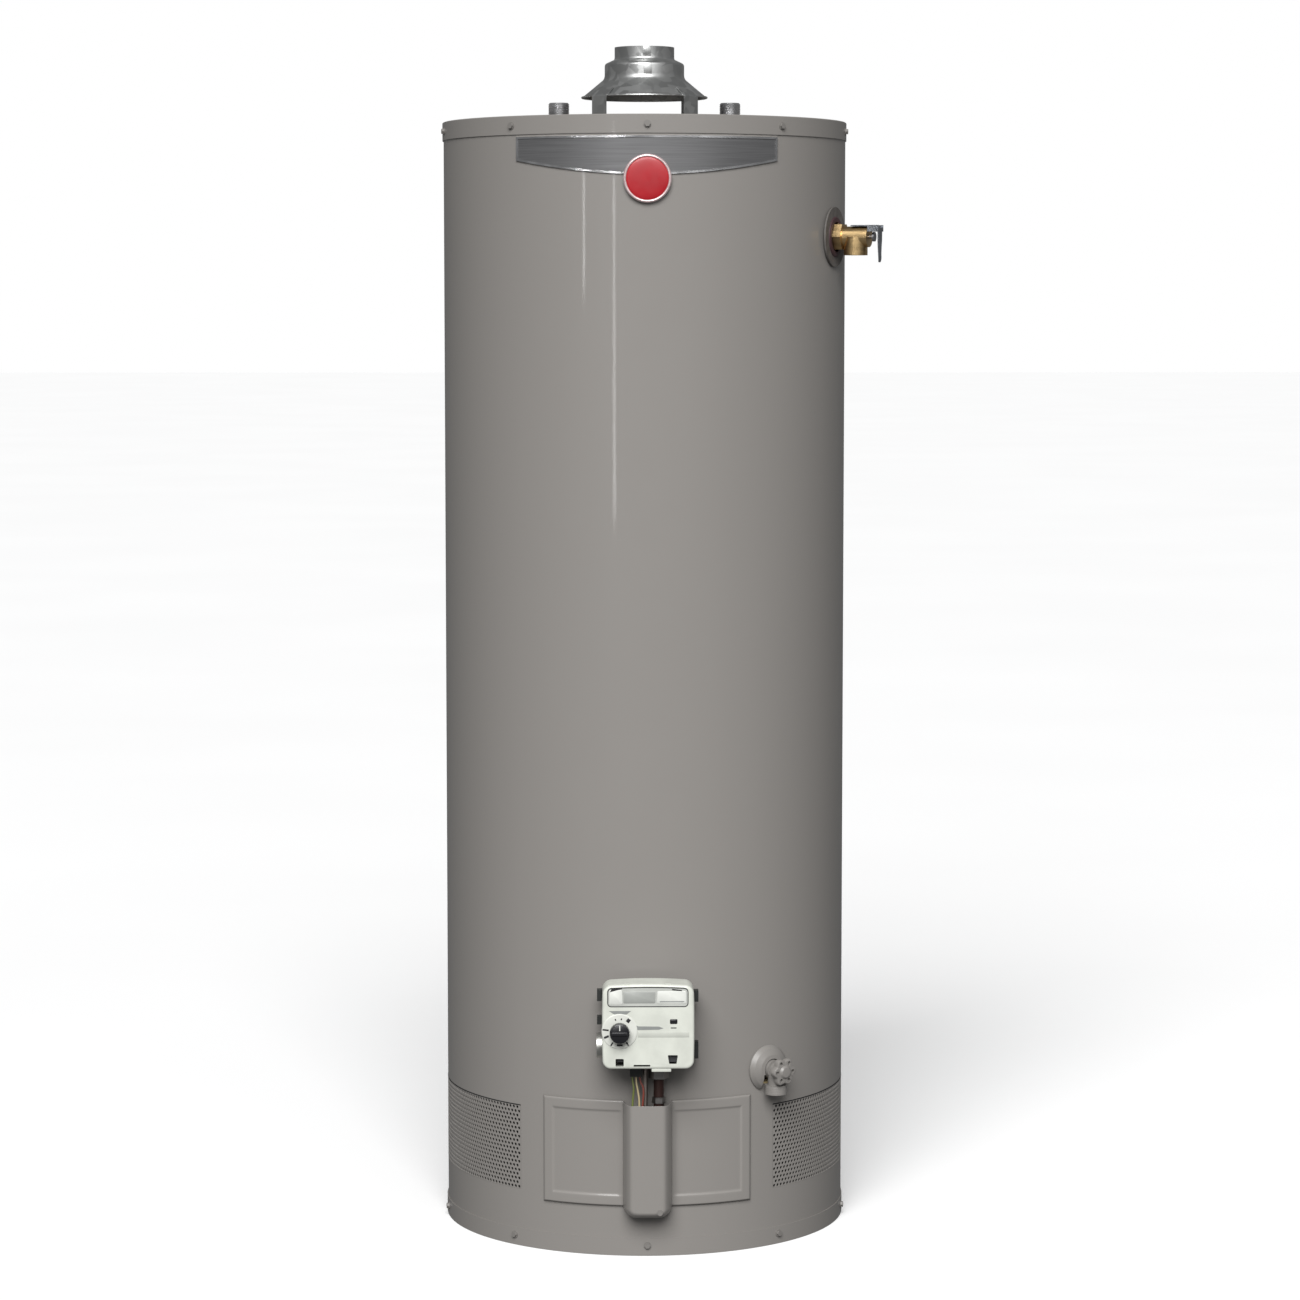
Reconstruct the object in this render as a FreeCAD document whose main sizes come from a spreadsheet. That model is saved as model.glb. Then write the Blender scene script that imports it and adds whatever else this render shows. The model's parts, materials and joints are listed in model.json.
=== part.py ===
import FreeCAD, Part
import math
import os
import Sketcher

# A gas-fired storage water heater, in millimetres. +Z is up, the origin is the centre of the base on
# the floor, and the front, with its gas control and access door, faces -Y. Fittings set round the
# jacket are placed by their azimuth: 0 degrees is the front, positive towards +X.

Vector = FreeCAD.Vector
Rotation = FreeCAD.Rotation
Placement = FreeCAD.Placement

DIMENSIONS = (
    ("jacket_radius", "257", "outside of the painted steel jacket"),
    ("sheet", "1", "jacket, lid and pan sheet"),
    ("lid_top", "1411", "top face of the lid"),
    ("lid_skirt", "23", "height of the lid's skirt"),
    ("pan_height", "22", "height of the base pan's skirt"),
    ("pan_floor", "1.2", "thickness of the base pan's floor"),
    ("rim_gap", "0.4", "space between the jacket and the lid or pan skirt"),
    ("screw_count", "9", "screws round the lid and round the pan"),
    ("lid_screw_height", "1399", "height of the lid screws"),
    ("pan_screw_height", "13", "height of the pan screws"),
    ("tank_radius", "228.5", "outside of the tank"),
    ("tank_wall", "2.5", "tank plate"),
    ("tank_foot", "200", "lower rim of the tank"),
    ("tank_crown", "1386", "top of the tank's upper head"),
    ("flue_radius", "51", "outside of the flue tube"),
    ("flue_wall", "2", "flue tube wall"),
    ("flue_top", "1420", "upper end of the flue tube"),
    ("nipple_radius", "13.335", "3/4 inch pipe thread, outside"),
    ("nipple_bore", "10.5", "bore of a water nipple"),
    ("nipple_top", "1437", "upper end of the nipples"),
    ("nipple_offset", "109.5", "nipple axis from the heater's axis"),
    ("hood_collar", "38.1", "3 inch vent collar, outside"),
    ("hood_tier", "50.8", "4 inch vent collar, outside"),
    ("hood_rim", "81", "rim of the hood's flared skirt"),
    ("hood_rim_height", "1442.5", "height of the hood's rim"),
    ("hood_waist", "1466.5", "top of the flare"),
    ("hood_shoulder", "1486", "top of the 4 inch tier"),
    ("hood_collar_foot", "1491.5", "lower end of the 3 inch collar"),
    ("hood_top", "1507.5", "top of the hood"),
    ("hood_sheet", "0.8", "galvanised sheet of the hood"),
    ("leg_width", "25", "width of a hood leg"),
    ("badge_half_angle", "38.3", "half the badge's arc"),
    ("badge_top", "1385", "upper edge of the badge"),
    ("badge_low", "1338", "lowest point of the badge's bowed edge"),
    ("badge_end", "1356", "lower corner of the badge at its ends"),
    ("emblem_radius", "29.5", "round emblem"),
    ("emblem_height", "1333", "height of the emblem's centre"),
    ("relief_angle", "67", "azimuth of the relief valve"),
    ("relief_height", "1265", "height of the relief valve"),
    ("relief_outlet_bore", "12.15", "3/4 inch pipe thread, tapped outlet"),
    ("drain_angle", "36", "azimuth of the drain valve"),
    ("drain_height", "227", "height of the drain valve"),
    ("drain_outlet", "13.5", "3/4 inch garden hose thread, outside"),
    ("drain_outlet_out", "17.3", "hose thread axis, out from the jacket"),
    ("drain_outlet_top", "18.6", "upper end of the hose thread, below the valve's axis"),
    ("drain_outlet_length", "11.5", "length of the hose thread"),
    ("relief_outlet_out", "29.5", "relief outlet axis, out from the jacket"),
    ("lever_pin_out", "59", "lever pin axis, out from the jacket"),
    ("lever_pin_up", "10", "lever pin axis, above the relief valve's axis"),
    ("vent_start", "38", "azimuth where a vent panel starts"),
    ("vent_span", "51.5", "arc of a vent panel"),
    ("vent_low", "72", "lower edge of the vent panels"),
    ("vent_high", "179", "upper edge of the vent panels"),
    ("door_half_angle", "29.7", "half the access door's arc"),
    ("door_low", "63", "lower edge of the access door"),
    ("door_high", "197", "upper edge of the access door"),
    ("door_proud", "4.5", "how far the door stands out from the jacket"),
    ("channel_half_width", "30.5", "half the door's centre channel"),
    ("channel_front", "296", "front of the channel, from the heater's axis"),
    ("channel_low", "51", "lower end of the channel"),
    ("control_height", "303", "axis of the gas control's neck and thermowell"),
    ("cover_half_width", "56.5", "half the gas control's cover"),
    ("cover_low", "250", "lower edge of the cover"),
    ("cover_high", "355.5", "upper edge of the cover"),
    ("cover_front", "329", "front of the cover, from the heater's axis"),
    ("cover_depth", "42", "depth of the cover"),
    ("knob_x", "-35", "control knob axis, left of centre"),
    ("knob_height", "297", "control knob axis"),
    ("knob_radius", "12.3", "control knob"),
    ("manifold_radius", "6.35", "1/2 inch gas manifold tube"),
    ("manifold_x", "13.7", "manifold tube, right of centre"),
    ("manifold_front", "277", "manifold tube's drop, from the heater's axis"),
    ("pipe_height", "112", "manifold and pilot tube where they pass the inner door"),
    ("wire_height", "96", "wires where they pass the inner door"),
    ("orifice_height", "56", "axis of the burner's gas orifice"),
    ("sight_height", "142", "centre of the sight glass"),
    ("sight_x", "-30", "sight glass, left of centre"),
    ("inlet_bore", "9.2", "1/2 inch pipe thread, tapped gas inlet"),
    ("inlet_height", "273", "gas inlet axis"),
    ("inlet_front", "292", "gas inlet axis, from the heater's axis"),
    ("pin_play", "0.05", "radial clearance of a hinge pin"),
)

doc = FreeCAD.newDocument("water_heater")
sheet = doc.addObject("Spreadsheet::Sheet", "Sizes")
parts = []


# ---------------------------------------------------------------- driving sizes and their arithmetic

class Size:
    """A length or angle: its value, and the spreadsheet expression that gives it."""

    def __init__(self, text, value):
        self.text = text
        self.value = value

    def combined(self, other, sign, value, flipped=False):
        first, second = as_text(self), as_text(other)
        if flipped:
            first, second = second, first
        return Size("(" + first + " " + sign + " " + second + ")", value)

    def __add__(self, other):
        return self.combined(other, "+", self.value + as_number(other))

    def __radd__(self, other):
        return self.combined(other, "+", other + self.value, flipped=True)

    def __sub__(self, other):
        return self.combined(other, "-", self.value - as_number(other))

    def __rsub__(self, other):
        return self.combined(other, "-", other - self.value, flipped=True)

    def __mul__(self, other):
        return self.combined(other, "*", self.value * as_number(other))

    def __rmul__(self, other):
        return self.combined(other, "*", other * self.value, flipped=True)

    def __truediv__(self, other):
        return self.combined(other, "/", self.value / as_number(other))

    def __neg__(self):
        return Size("(0 - " + self.text + ")", -self.value)


def as_number(amount):
    return amount.value if isinstance(amount, Size) else float(amount)


def as_text(amount):
    return amount.text if isinstance(amount, Size) else repr(float(amount))


def fill_sheet():
    """Write the driving dimensions into the sheet and return them by alias."""
    sizes = {}
    for row, (alias, amount, meaning) in enumerate(DIMENSIONS, start=1):
        sheet.set("A%d" % row, meaning)
        sheet.set("B%d" % row, amount)
        sheet.setAlias("B%d" % row, alias)
        sizes[alias] = Size("Sizes." + alias, float(amount))
    doc.recompute()
    return sizes


SIZES = fill_sheet()
JACKET = SIZES["jacket_radius"]
SHEET = SIZES["sheet"]
LID_TOP = SIZES["lid_top"]
SKIRT_INSIDE = JACKET + SIZES["rim_gap"]
SKIRT_OUTSIDE = SKIRT_INSIDE + SHEET
NIPPLE_X = SIZES["nipple_offset"]
TANK = SIZES["tank_radius"]
TANK_INSIDE = TANK - SIZES["tank_wall"]
FOAM_INSIDE = TANK + 1
FOAM_OUTSIDE = JACKET - SHEET - 0.5

# Directions that a primitive's own +Z can be turned to.
UP = Rotation()
TO_FRONT = Rotation(Vector(1, 0, 0), 90)
TO_LEFT = Rotation(Vector(0, 1, 0), -90)
TO_RIGHT = Rotation(Vector(0, 1, 0), 90)

# The anode rod's axis, behind the flue, and the pilot tube's drop, beside the manifold's.
ANODE_Y = 105
PILOT_X = -3


# ---------------------------------------------------------------- helpers

def bind(item, name, amount):
    """Set a property, through the sheet where the amount comes from it."""
    if isinstance(amount, Size):
        item.setExpression(name, amount.text)
    else:
        setattr(item, name, amount)


def place(item, x=0, y=0, z=0, turn=UP):
    """Put an object at a point, with its coordinates bound to the sheet."""
    item.Placement = Placement(Vector(as_number(x), as_number(y), as_number(z)), turn)
    for axis, amount in (("x", x), ("y", y), ("z", z)):
        if isinstance(amount, Size):
            item.setExpression("Placement.Base." + axis, amount.text)
    return item


def place_radially(item, azimuth, height, radius=JACKET):
    """Stand an object on the jacket: its own +Z points out, its own +Y up."""
    angle = Size("sin(%s)" % azimuth.text, math.sin(math.radians(azimuth.value)))
    side = Size("cos(%s)" % azimuth.text, math.cos(math.radians(azimuth.value)))
    turn = Rotation(Vector(0, 0, 1), azimuth.value).multiply(TO_FRONT)
    return place(item, radius * angle, -(radius * side), height, turn)


def cylinder(name, radius, height, x=0, y=0, z=0, turn=UP):
    item = doc.addObject("Part::Cylinder", name)
    bind(item, "Radius", radius)
    bind(item, "Height", height)
    return place(item, x, y, z, turn)


def box(name, low, high):
    """A block between two corners."""
    item = doc.addObject("Part::Box", name)
    bind(item, "Length", high[0] - low[0])
    bind(item, "Width", high[1] - low[1])
    bind(item, "Height", high[2] - low[2])
    return place(item, low[0], low[1], low[2])


def hexagon(name, across_flats, height, x=0, y=0, z=0, turn=UP):
    item = doc.addObject("Part::Prism", name)
    item.Polygon = 6
    bind(item, "Circumradius", across_flats / math.sqrt(3))
    bind(item, "Height", height)
    return place(item, x, y, z, turn)


def fuse(name, *pieces):
    item = doc.addObject("Part::MultiFuse", name)
    item.Shapes = list(pieces)
    return item


def group(name, pieces):
    """Separate solids that share one node."""
    item = doc.addObject("Part::Compound", name)
    item.Links = list(pieces)
    return item


def cut(name, base, *tools):
    item = doc.addObject("Part::Cut", name)
    item.Base = base
    item.Tool = tools[0] if len(tools) == 1 else fuse(name + "_tools", *tools)
    return item


def tube(name, outside, inside, height, x=0, y=0, z=0, turn=UP):
    """A straight tube; its bore runs past both ends so that it opens them."""
    outer = cylinder(name + "_outer", outside, height)
    inner = cylinder(name + "_bore", inside, height + 2, z=-1)
    return place(cut(name, outer, inner), x, y, z, turn)


def ring_sector(name, inside, outside, low, high, start, span):
    """A curved plate: part of a ring, from azimuth start over span degrees."""
    outer = cylinder(name + "_outer", outside, high - low, z=low)
    bind(outer, "Angle", span)
    outer.Placement = Placement(outer.Placement.Base, Rotation(Vector(0, 0, 1), as_number(start) - 90))
    inner = cylinder(name + "_inner", inside, high - low + 2, z=low - 1)
    return cut(name, outer, inner)


def origin_feature(body, role):
    return next(item for item in body.Origin.OriginFeatures if item.Role == role)


def new_body(name):
    return doc.addObject("PartDesign::Body", name)


def new_sketch(body, name, plane="XZ_Plane", offset=0, azimuth=0):
    """A sketch on an origin plane, pushed out along its normal and turned about its own vertical."""
    sketch = body.newObject("Sketcher::SketchObject", name)
    sketch.AttachmentSupport = [(origin_feature(body, plane), "")]
    sketch.MapMode = "FlatFace"
    turn = Rotation(Vector(0, 1, 0), as_number(azimuth))
    sketch.AttachmentOffset = Placement(turn.multVec(Vector(0, 0, as_number(offset))), turn)
    return sketch


def pin_point(sketch, geometry, end, x, y):
    """Hold one point of a sketch at its coordinates."""
    for kind, axis, amount in (("DistanceX", -2, x), ("DistanceY", -1, y)):
        value = as_number(amount)
        if value == 0:
            sketch.addConstraint(Sketcher.Constraint("PointOnObject", geometry, end, axis))
            continue
        index = sketch.addConstraint(Sketcher.Constraint(kind, -1, 1, geometry, end, value))
        if isinstance(amount, Size):
            sketch.setExpression("Constraints[%d]" % index, amount.text)


def draw_polygon(sketch, points):
    """Closed straight outline; each corner is pinned to its place."""
    corners = [Vector(as_number(x), as_number(y), 0) for x, y in points]
    first = sketch.GeometryCount
    count = len(points)
    for index in range(count):
        sketch.addGeometry(Part.LineSegment(corners[index], corners[(index + 1) % count]))
    for index in range(count):
        after = first + (index + 1) % count
        sketch.addConstraint(Sketcher.Constraint("Coincident", first + index, 2, after, 1))
    for index, (x, y) in enumerate(points):
        pin_point(sketch, first + index, 1, x, y)


def draw_circle(sketch, x, y, radius):
    centre = Vector(as_number(x), as_number(y), 0)
    index = sketch.addGeometry(Part.Circle(centre, Vector(0, 0, 1), as_number(radius)))
    limit = sketch.addConstraint(Sketcher.Constraint("Radius", index, as_number(radius)))
    if isinstance(radius, Size):
        sketch.setExpression("Constraints[%d]" % limit, radius.text)
    pin_point(sketch, index, 3, x, y)


def rectangle(x_low, x_high, y_low, y_high, corner=0):
    """Corners of a rectangle, cut off at 45 degrees where corner isn't zero."""
    if corner == 0:
        return [(x_low, y_low), (x_high, y_low), (x_high, y_high), (x_low, y_high)]
    return [
        (x_low + corner, y_low),
        (x_high - corner, y_low),
        (x_high, y_low + corner),
        (x_high, y_high - corner),
        (x_high - corner, y_high),
        (x_low + corner, y_high),
        (x_low, y_high - corner),
        (x_low, y_low + corner),
    ]


def pad(body, sketch, length, reversed_way=False, both_ways=False):
    feature = body.newObject("PartDesign::Pad", sketch.Name + "_pad")
    feature.Profile = sketch
    feature.Reversed = reversed_way
    feature.Midplane = both_ways
    bind(feature, "Length", length)
    return feature


def pocket(body, sketch, length=None, reversed_way=False):
    """Cut a sketch out of its body, and make sure that something was cut."""
    doc.recompute()
    before = body.Shape.Volume
    feature = body.newObject("PartDesign::Pocket", sketch.Name + "_pocket")
    feature.Profile = sketch
    feature.Reversed = reversed_way
    if length is None:
        feature.Type = "ThroughAll"
    else:
        bind(feature, "Length", length)
    doc.recompute()
    if not body.Shape.Volume < before - 0.01:
        raise RuntimeError(sketch.Name + " cut nothing")
    return feature


def fillet(body, feature, radius, chosen):
    """Round the edges of a feature that the test picks."""
    doc.recompute()
    names = []
    for index, edge in enumerate(feature.Shape.Edges, start=1):
        if chosen(edge):
            names.append("Edge%d" % index)
    rounded = body.newObject("PartDesign::Fillet", feature.Name + "_fillet")
    rounded.Base = (feature, names)
    bind(rounded, "Radius", radius)
    return rounded


def revolved(name, outline, angle=360):
    """A turned piece: an outline of (radius, height) points swept about its own +Z."""
    body = new_body(name)
    sketch = new_sketch(body, name + "_outline")
    draw_polygon(sketch, outline)
    turning = body.newObject("PartDesign::Revolution", name + "_turning")
    turning.Profile = sketch
    turning.ReferenceAxis = (sketch, ["V_Axis"])
    turning.Angle = angle
    return body


def prism(name, outline, length, plane="XZ_Plane", offset=0, azimuth=0, both_ways=False):
    """A straight piece: an outline on a plane, padded along the plane's normal."""
    body = new_body(name)
    sketch = new_sketch(body, name + "_outline", plane, offset, azimuth)
    draw_polygon(sketch, outline)
    pad(body, sketch, length, both_ways=both_ways)
    return body


def bent_path(points, bend):
    """Straight runs joined by tangent arcs of one radius."""
    corners = [Vector(*[as_number(value) for value in point]) for point in points]
    edges = []
    start = corners[0]
    for index in range(1, len(corners) - 1):
        corner = corners[index]
        arriving = (corners[index - 1] - corner).normalize()
        leaving = (corners[index + 1] - corner).normalize()
        half = math.acos(max(-1, min(1, arriving.dot(leaving)))) / 2
        reach = bend / math.tan(half)
        first = corner + arriving * reach
        last = corner + leaving * reach
        inward = (arriving + leaving).normalize()
        middle = corner + inward * (bend / math.sin(half) - bend)
        edges.append(Part.LineSegment(start, first).toShape())
        edges.append(Part.Arc(first, middle, last).toShape())
        start = last
    edges.append(Part.LineSegment(start, corners[-1]).toShape())
    return Part.Wire(edges)


def swept_rod(points, bend, radius):
    """A round bar along a bent path, with its volume compared with section times length."""
    path = bent_path(points, bend)
    first = path.Edges[0]
    profile = Part.Wire(Part.makeCircle(radius, first.valueAt(first.FirstParameter),
                                        first.tangentAt(first.FirstParameter)))
    solid = path.makePipeShell([profile], True, False)
    expected = math.pi * radius * radius * path.Length
    if abs(solid.Volume / expected - 1) > 0.01:
        raise RuntimeError("a swept tube has the wrong volume")
    return solid


def add_part(item, label):
    """Name a finished sub-part; its label is its node and its file."""
    item.Label = label
    parts.append(item)
    return item


def add_shape(label, shape):
    """A finished sub-part whose shape comes from Part's own functions."""
    item = doc.addObject("Part::Feature", label + "_solid")
    item.Shape = shape
    item.Placement = Placement()
    return add_part(item, label)


def radial_hole(name, azimuth, height, radius, start, reach):
    """A round cutter across the wall at one azimuth."""
    return place_radially(cylinder(name, radius, reach), azimuth, height, start)


# ---------------------------------------------------------------- casing

def washer_screws(name, height):
    """Hex washer-head screws spaced evenly round a skirt, one at the front centre."""
    count = int(SIZES["screw_count"].value)
    screws = []
    for index in range(count):
        turn = Size("(%d * 360 / Sizes.screw_count)" % index, index * 360.0 / count)
        washer = cylinder("%s_washer_%d" % (name, index), 4.6, 1)
        head = hexagon("%s_head_%d" % (name, index), 6.4, 3.4)
        screw = fuse("%s_screw_%d" % (name, index), washer, head)
        screws.append(place_radially(screw, turn, height, SKIRT_OUTSIDE + 0.05))
    return group(name, screws)


def make_base():
    floor = SIZES["pan_floor"]
    pan = revolved("pan", [
        (0, 0),
        (SKIRT_OUTSIDE, 0),
        (SKIRT_OUTSIDE, SIZES["pan_height"]),
        (SKIRT_INSIDE, SIZES["pan_height"]),
        (SKIRT_INSIDE, floor),
        (0, floor),
    ])
    add_part(pan, "base_pan")
    add_part(washer_screws("pan_screws", SIZES["pan_screw_height"]), "base_screws")


def cut_vent_window(body, side, start):
    """Take one vent window out of the jacket with a part-turn groove."""
    doc.recompute()
    before = body.Shape.Volume
    sketch = new_sketch(body, side + "_window", azimuth=as_number(start) - 90)
    draw_polygon(sketch, rectangle(JACKET - 5, JACKET + 5, SIZES["vent_low"], SIZES["vent_high"]))
    groove = body.newObject("PartDesign::Groove", side + "_window_groove")
    groove.Profile = sketch
    groove.ReferenceAxis = (sketch, ["V_Axis"])
    bind(groove, "Angle", SIZES["vent_span"])
    doc.recompute()
    if not body.Shape.Volume < before - 1:
        raise RuntimeError(side + " vent window cut nothing")


def make_jacket():
    body = new_body("jacket_sheet")
    section = new_sketch(body, "jacket_section", plane="XY_Plane", offset=SIZES["pan_floor"])
    draw_circle(section, 0, 0, JACKET)
    draw_circle(section, 0, 0, JACKET - SHEET)
    pad(body, section, LID_TOP - SHEET - SIZES["pan_floor"] - 0.1)
    opening = new_sketch(body, "burner_opening")
    draw_polygon(opening, rectangle(-100, 100, 76, 186))
    pocket(body, opening, reversed_way=True)
    control_opening = new_sketch(body, "control_opening")
    draw_circle(control_opening, 0, SIZES["control_height"], 30)
    pocket(body, control_opening, reversed_way=True)
    for name, angle, height, radius in (
        ("relief_opening", SIZES["relief_angle"], SIZES["relief_height"], 31),
        ("drain_opening", SIZES["drain_angle"], SIZES["drain_height"], 20),
    ):
        opening = new_sketch(body, name, azimuth=angle)
        draw_circle(opening, 0, height, radius)
        pocket(body, opening, reversed_way=True)
    cut_vent_window(body, "right", SIZES["vent_start"])
    cut_vent_window(body, "left", -(SIZES["vent_start"] + SIZES["vent_span"]))
    add_part(body, "jacket")


def make_vent_panels():
    """Perforated fields of the jacket wall, one plate each side, flush with the jacket."""
    seam = 0.15
    turn_gap = 0.05
    starts = {
        "right_vent_panel": SIZES["vent_start"] + turn_gap,
        "left_vent_panel": -(SIZES["vent_start"] + SIZES["vent_span"]) + turn_gap,
    }
    for label, start in starts.items():
        plate = ring_sector(label + "_plate", JACKET - SHEET, JACKET, SIZES["vent_low"] + seam,
                            SIZES["vent_high"] - seam, start, SIZES["vent_span"] - 2 * turn_gap)
        add_part(plate, label)


def make_lid():
    low = LID_TOP - SIZES["lid_skirt"]
    body = revolved("lid", [
        (SIZES["flue_radius"] + 2, LID_TOP - SHEET),
        (SKIRT_INSIDE, LID_TOP - SHEET),
        (SKIRT_INSIDE, low),
        (SKIRT_OUTSIDE, low),
        (SKIRT_OUTSIDE, LID_TOP - 0.9),
        (SKIRT_OUTSIDE - 0.9, LID_TOP),
        (SIZES["flue_radius"] + 2, LID_TOP),
    ])
    holes = new_sketch(body, "lid_holes", plane="XY_Plane")
    draw_circle(holes, NIPPLE_X, 0, SIZES["nipple_radius"] + 2)
    draw_circle(holes, -NIPPLE_X, 0, SIZES["nipple_radius"] + 2)
    draw_circle(holes, 0, ANODE_Y, 20)
    pocket(body, holes, reversed_way=True)
    add_part(body, "top_cover")
    add_part(washer_screws("lid_screws", SIZES["lid_screw_height"]), "top_cover_screws")


def badge_region(name, inset, inside, outside):
    """The badge's curved outline: a ring sector whose lower edge bows down to its middle."""
    half = SIZES["badge_half_angle"].value
    reach = JACKET.value * math.sin(math.radians(half))
    bow = SIZES["badge_end"].value - SIZES["badge_low"].value
    bow_radius = (reach * reach + bow * bow) / (2 * bow)
    trim = math.degrees(inset / JACKET.value)
    sector = ring_sector(name + "_sector", inside, outside, SIZES["badge_low"] + inset,
                         SIZES["badge_top"] - inset, -half + trim, 2 * (half - trim))
    bowl = cylinder(name + "_bow", bow_radius - inset, 400, z=SIZES["badge_low"] + bow_radius,
                    turn=TO_FRONT)
    region = doc.addObject("Part::Common", name)
    region.Base = sector
    region.Tool = bowl
    return region


def make_badge():
    border_width = 2.5
    plate_inside = JACKET + 0.2
    plate_outside = plate_inside + 1.1
    border_outside = plate_outside + 0.8
    plate = badge_region("badge_field", border_width + 0.1, plate_inside, plate_outside)
    add_part(plate, "badge_plate")
    whole = badge_region("badge_whole", 0, plate_inside, border_outside)
    window = badge_region("badge_window", border_width, JACKET - 5, border_outside + 5)
    add_part(cut("badge_frame", whole, window), "badge_border")
    rim = 1.5
    dome = revolved("emblem_dome", [
        (0, -12),
        (SIZES["emblem_radius"], -12),
        (SIZES["emblem_radius"], 3.2),
        (SIZES["emblem_radius"] - rim, 4.2),
        (SIZES["emblem_radius"] - 2 * rim, 3.6),
        (15, 4.6),
        (0, 5),
    ])
    place(dome, 0, -(border_outside + 0.1), SIZES["emblem_height"], TO_FRONT)
    wall = cylinder("emblem_back", border_outside + 0.1, 120, z=SIZES["emblem_height"] - 60)
    add_part(cut("emblem", dome, wall), "badge_emblem")


# ---------------------------------------------------------------- tank, flue and insulation

def make_tank():
    wall = SIZES["tank_wall"]
    crown = SIZES["tank_crown"]
    foot = SIZES["tank_foot"]
    hub = SIZES["flue_radius"] + 0.3
    shoulder = crown - 41
    shell = revolved("tank_plates", [
        (TANK, foot),
        (TANK, shoulder),
        (150, crown - 10),
        (hub, crown),
        (hub, crown - wall),
        (149.5, crown - 10 - wall),
        (TANK_INSIDE, shoulder - 1),
        (TANK_INSIDE, foot + 20),
        (150, foot + 34),
        (hub, foot + 42),
        (hub, foot + 42 - wall),
        (149.7, foot + 34 - wall),
        (TANK_INSIDE, foot + 20 - wall),
        (TANK_INSIDE, foot),
    ])
    tapping = SIZES["nipple_radius"] + 0.1
    above = crown - 60
    holes = [
        cylinder("hot_tapping", tapping, 90, -NIPPLE_X, 0, above),
        cylinder("cold_tapping", tapping, 90, NIPPLE_X, 0, above),
        cylinder("anode_tapping", tapping, 90, 0, ANODE_Y, above),
        radial_hole("relief_tapping", SIZES["relief_angle"], SIZES["relief_height"], tapping,
                    TANK - 20, 40),
        radial_hole("drain_tapping", SIZES["drain_angle"], SIZES["drain_height"], 10.6,
                    TANK - 20, 40),
        cylinder("control_tapping", 10.6, 40, 0, -(TANK - 20), SIZES["control_height"], TO_FRONT),
    ]
    add_part(cut("tank", shell, *holes), "tank_shell")


def make_foam():
    crown = SIZES["tank_crown"]
    body = revolved("foam_body", [
        (FOAM_INSIDE, SIZES["tank_foot"] + 6),
        (FOAM_OUTSIDE, SIZES["tank_foot"] + 6),
        (FOAM_OUTSIDE, LID_TOP - SHEET - 1),
        (SIZES["flue_radius"] + 4, LID_TOP - SHEET - 1),
        (SIZES["flue_radius"] + 4, crown + 2),
        (150, crown - 8),
        (FOAM_INSIDE, crown - 38),
    ])
    reach = FOAM_OUTSIDE - FOAM_INSIDE + 40
    above = crown - 60
    holes = [
        cylinder("foam_hot", SIZES["nipple_radius"] + 1, 120, -NIPPLE_X, 0, above),
        cylinder("foam_cold", SIZES["nipple_radius"] + 1, 120, NIPPLE_X, 0, above),
        cylinder("foam_anode", 20, 120, 0, ANODE_Y, above),
        radial_hole("foam_relief", SIZES["relief_angle"], SIZES["relief_height"], 31,
                    FOAM_INSIDE - 20, reach),
        radial_hole("foam_drain", SIZES["drain_angle"], SIZES["drain_height"], 18,
                    FOAM_INSIDE - 20, reach),
        cylinder("foam_control", 30, reach, 0, -(FOAM_INSIDE - 20), SIZES["control_height"], TO_FRONT),
    ]
    add_part(cut("foam", body, *holes), "foam_insulation")


def make_flue():
    low = SIZES["tank_foot"] + 15
    pipe = tube("flue_pipe", SIZES["flue_radius"], SIZES["flue_radius"] - SIZES["flue_wall"],
                SIZES["flue_top"] - low, z=low)
    add_part(pipe, "flue_tube")
    folds = 13
    pitch = 88
    swing = 26
    strip = 3
    bottom = 262
    lower = []
    upper = []
    for index in range(folds + 1):
        side = swing if index % 2 else -swing
        height = bottom + index * pitch
        lower.append((side, height))
        upper.append((side, height + strip))
    add_part(prism("baffle_strip", lower + upper[::-1], 60, plane="YZ_Plane", both_ways=True),
             "flue_baffle")


def make_water_fittings():
    exposed = SIZES["nipple_top"] - LID_TOP
    low = SIZES["tank_crown"] - 40
    for label, side in (("cold_inlet_nipple", NIPPLE_X), ("hot_outlet_nipple", -NIPPLE_X)):
        thread = cylinder(label + "_thread", SIZES["nipple_radius"], exposed, side, 0, LID_TOP)
        shank = cylinder(label + "_shank", SIZES["nipple_radius"] - 0.2, LID_TOP - low, side, 0, low)
        bore = cylinder(label + "_bore", SIZES["nipple_bore"], 200, side, 0, low - 10)
        add_part(cut(label + "_pipe", fuse(label + "_stock", thread, shank), bore), label)
    dip_outside = SIZES["nipple_bore"] - 0.3
    dip_top = SIZES["nipple_top"] - 1
    dip_foot = SIZES["tank_foot"] + 180
    add_part(tube("dip_pipe", dip_outside, dip_outside - 1.6, dip_top - dip_foot, NIPPLE_X, 0,
                  dip_foot), "dip_tube")
    seat = SIZES["tank_crown"] - 18
    plug = cylinder("anode_thread", SIZES["nipple_radius"], 16, 0, ANODE_Y, seat)
    head = hexagon("anode_head", 27, 14, 0, ANODE_Y, seat + 16)
    rod = cylinder("anode_stick", 10.5, 860, 0, ANODE_Y, seat - 860)
    add_part(fuse("anode", plug, head, rod), "anode_rod")


# ---------------------------------------------------------------- combustion chamber

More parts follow.
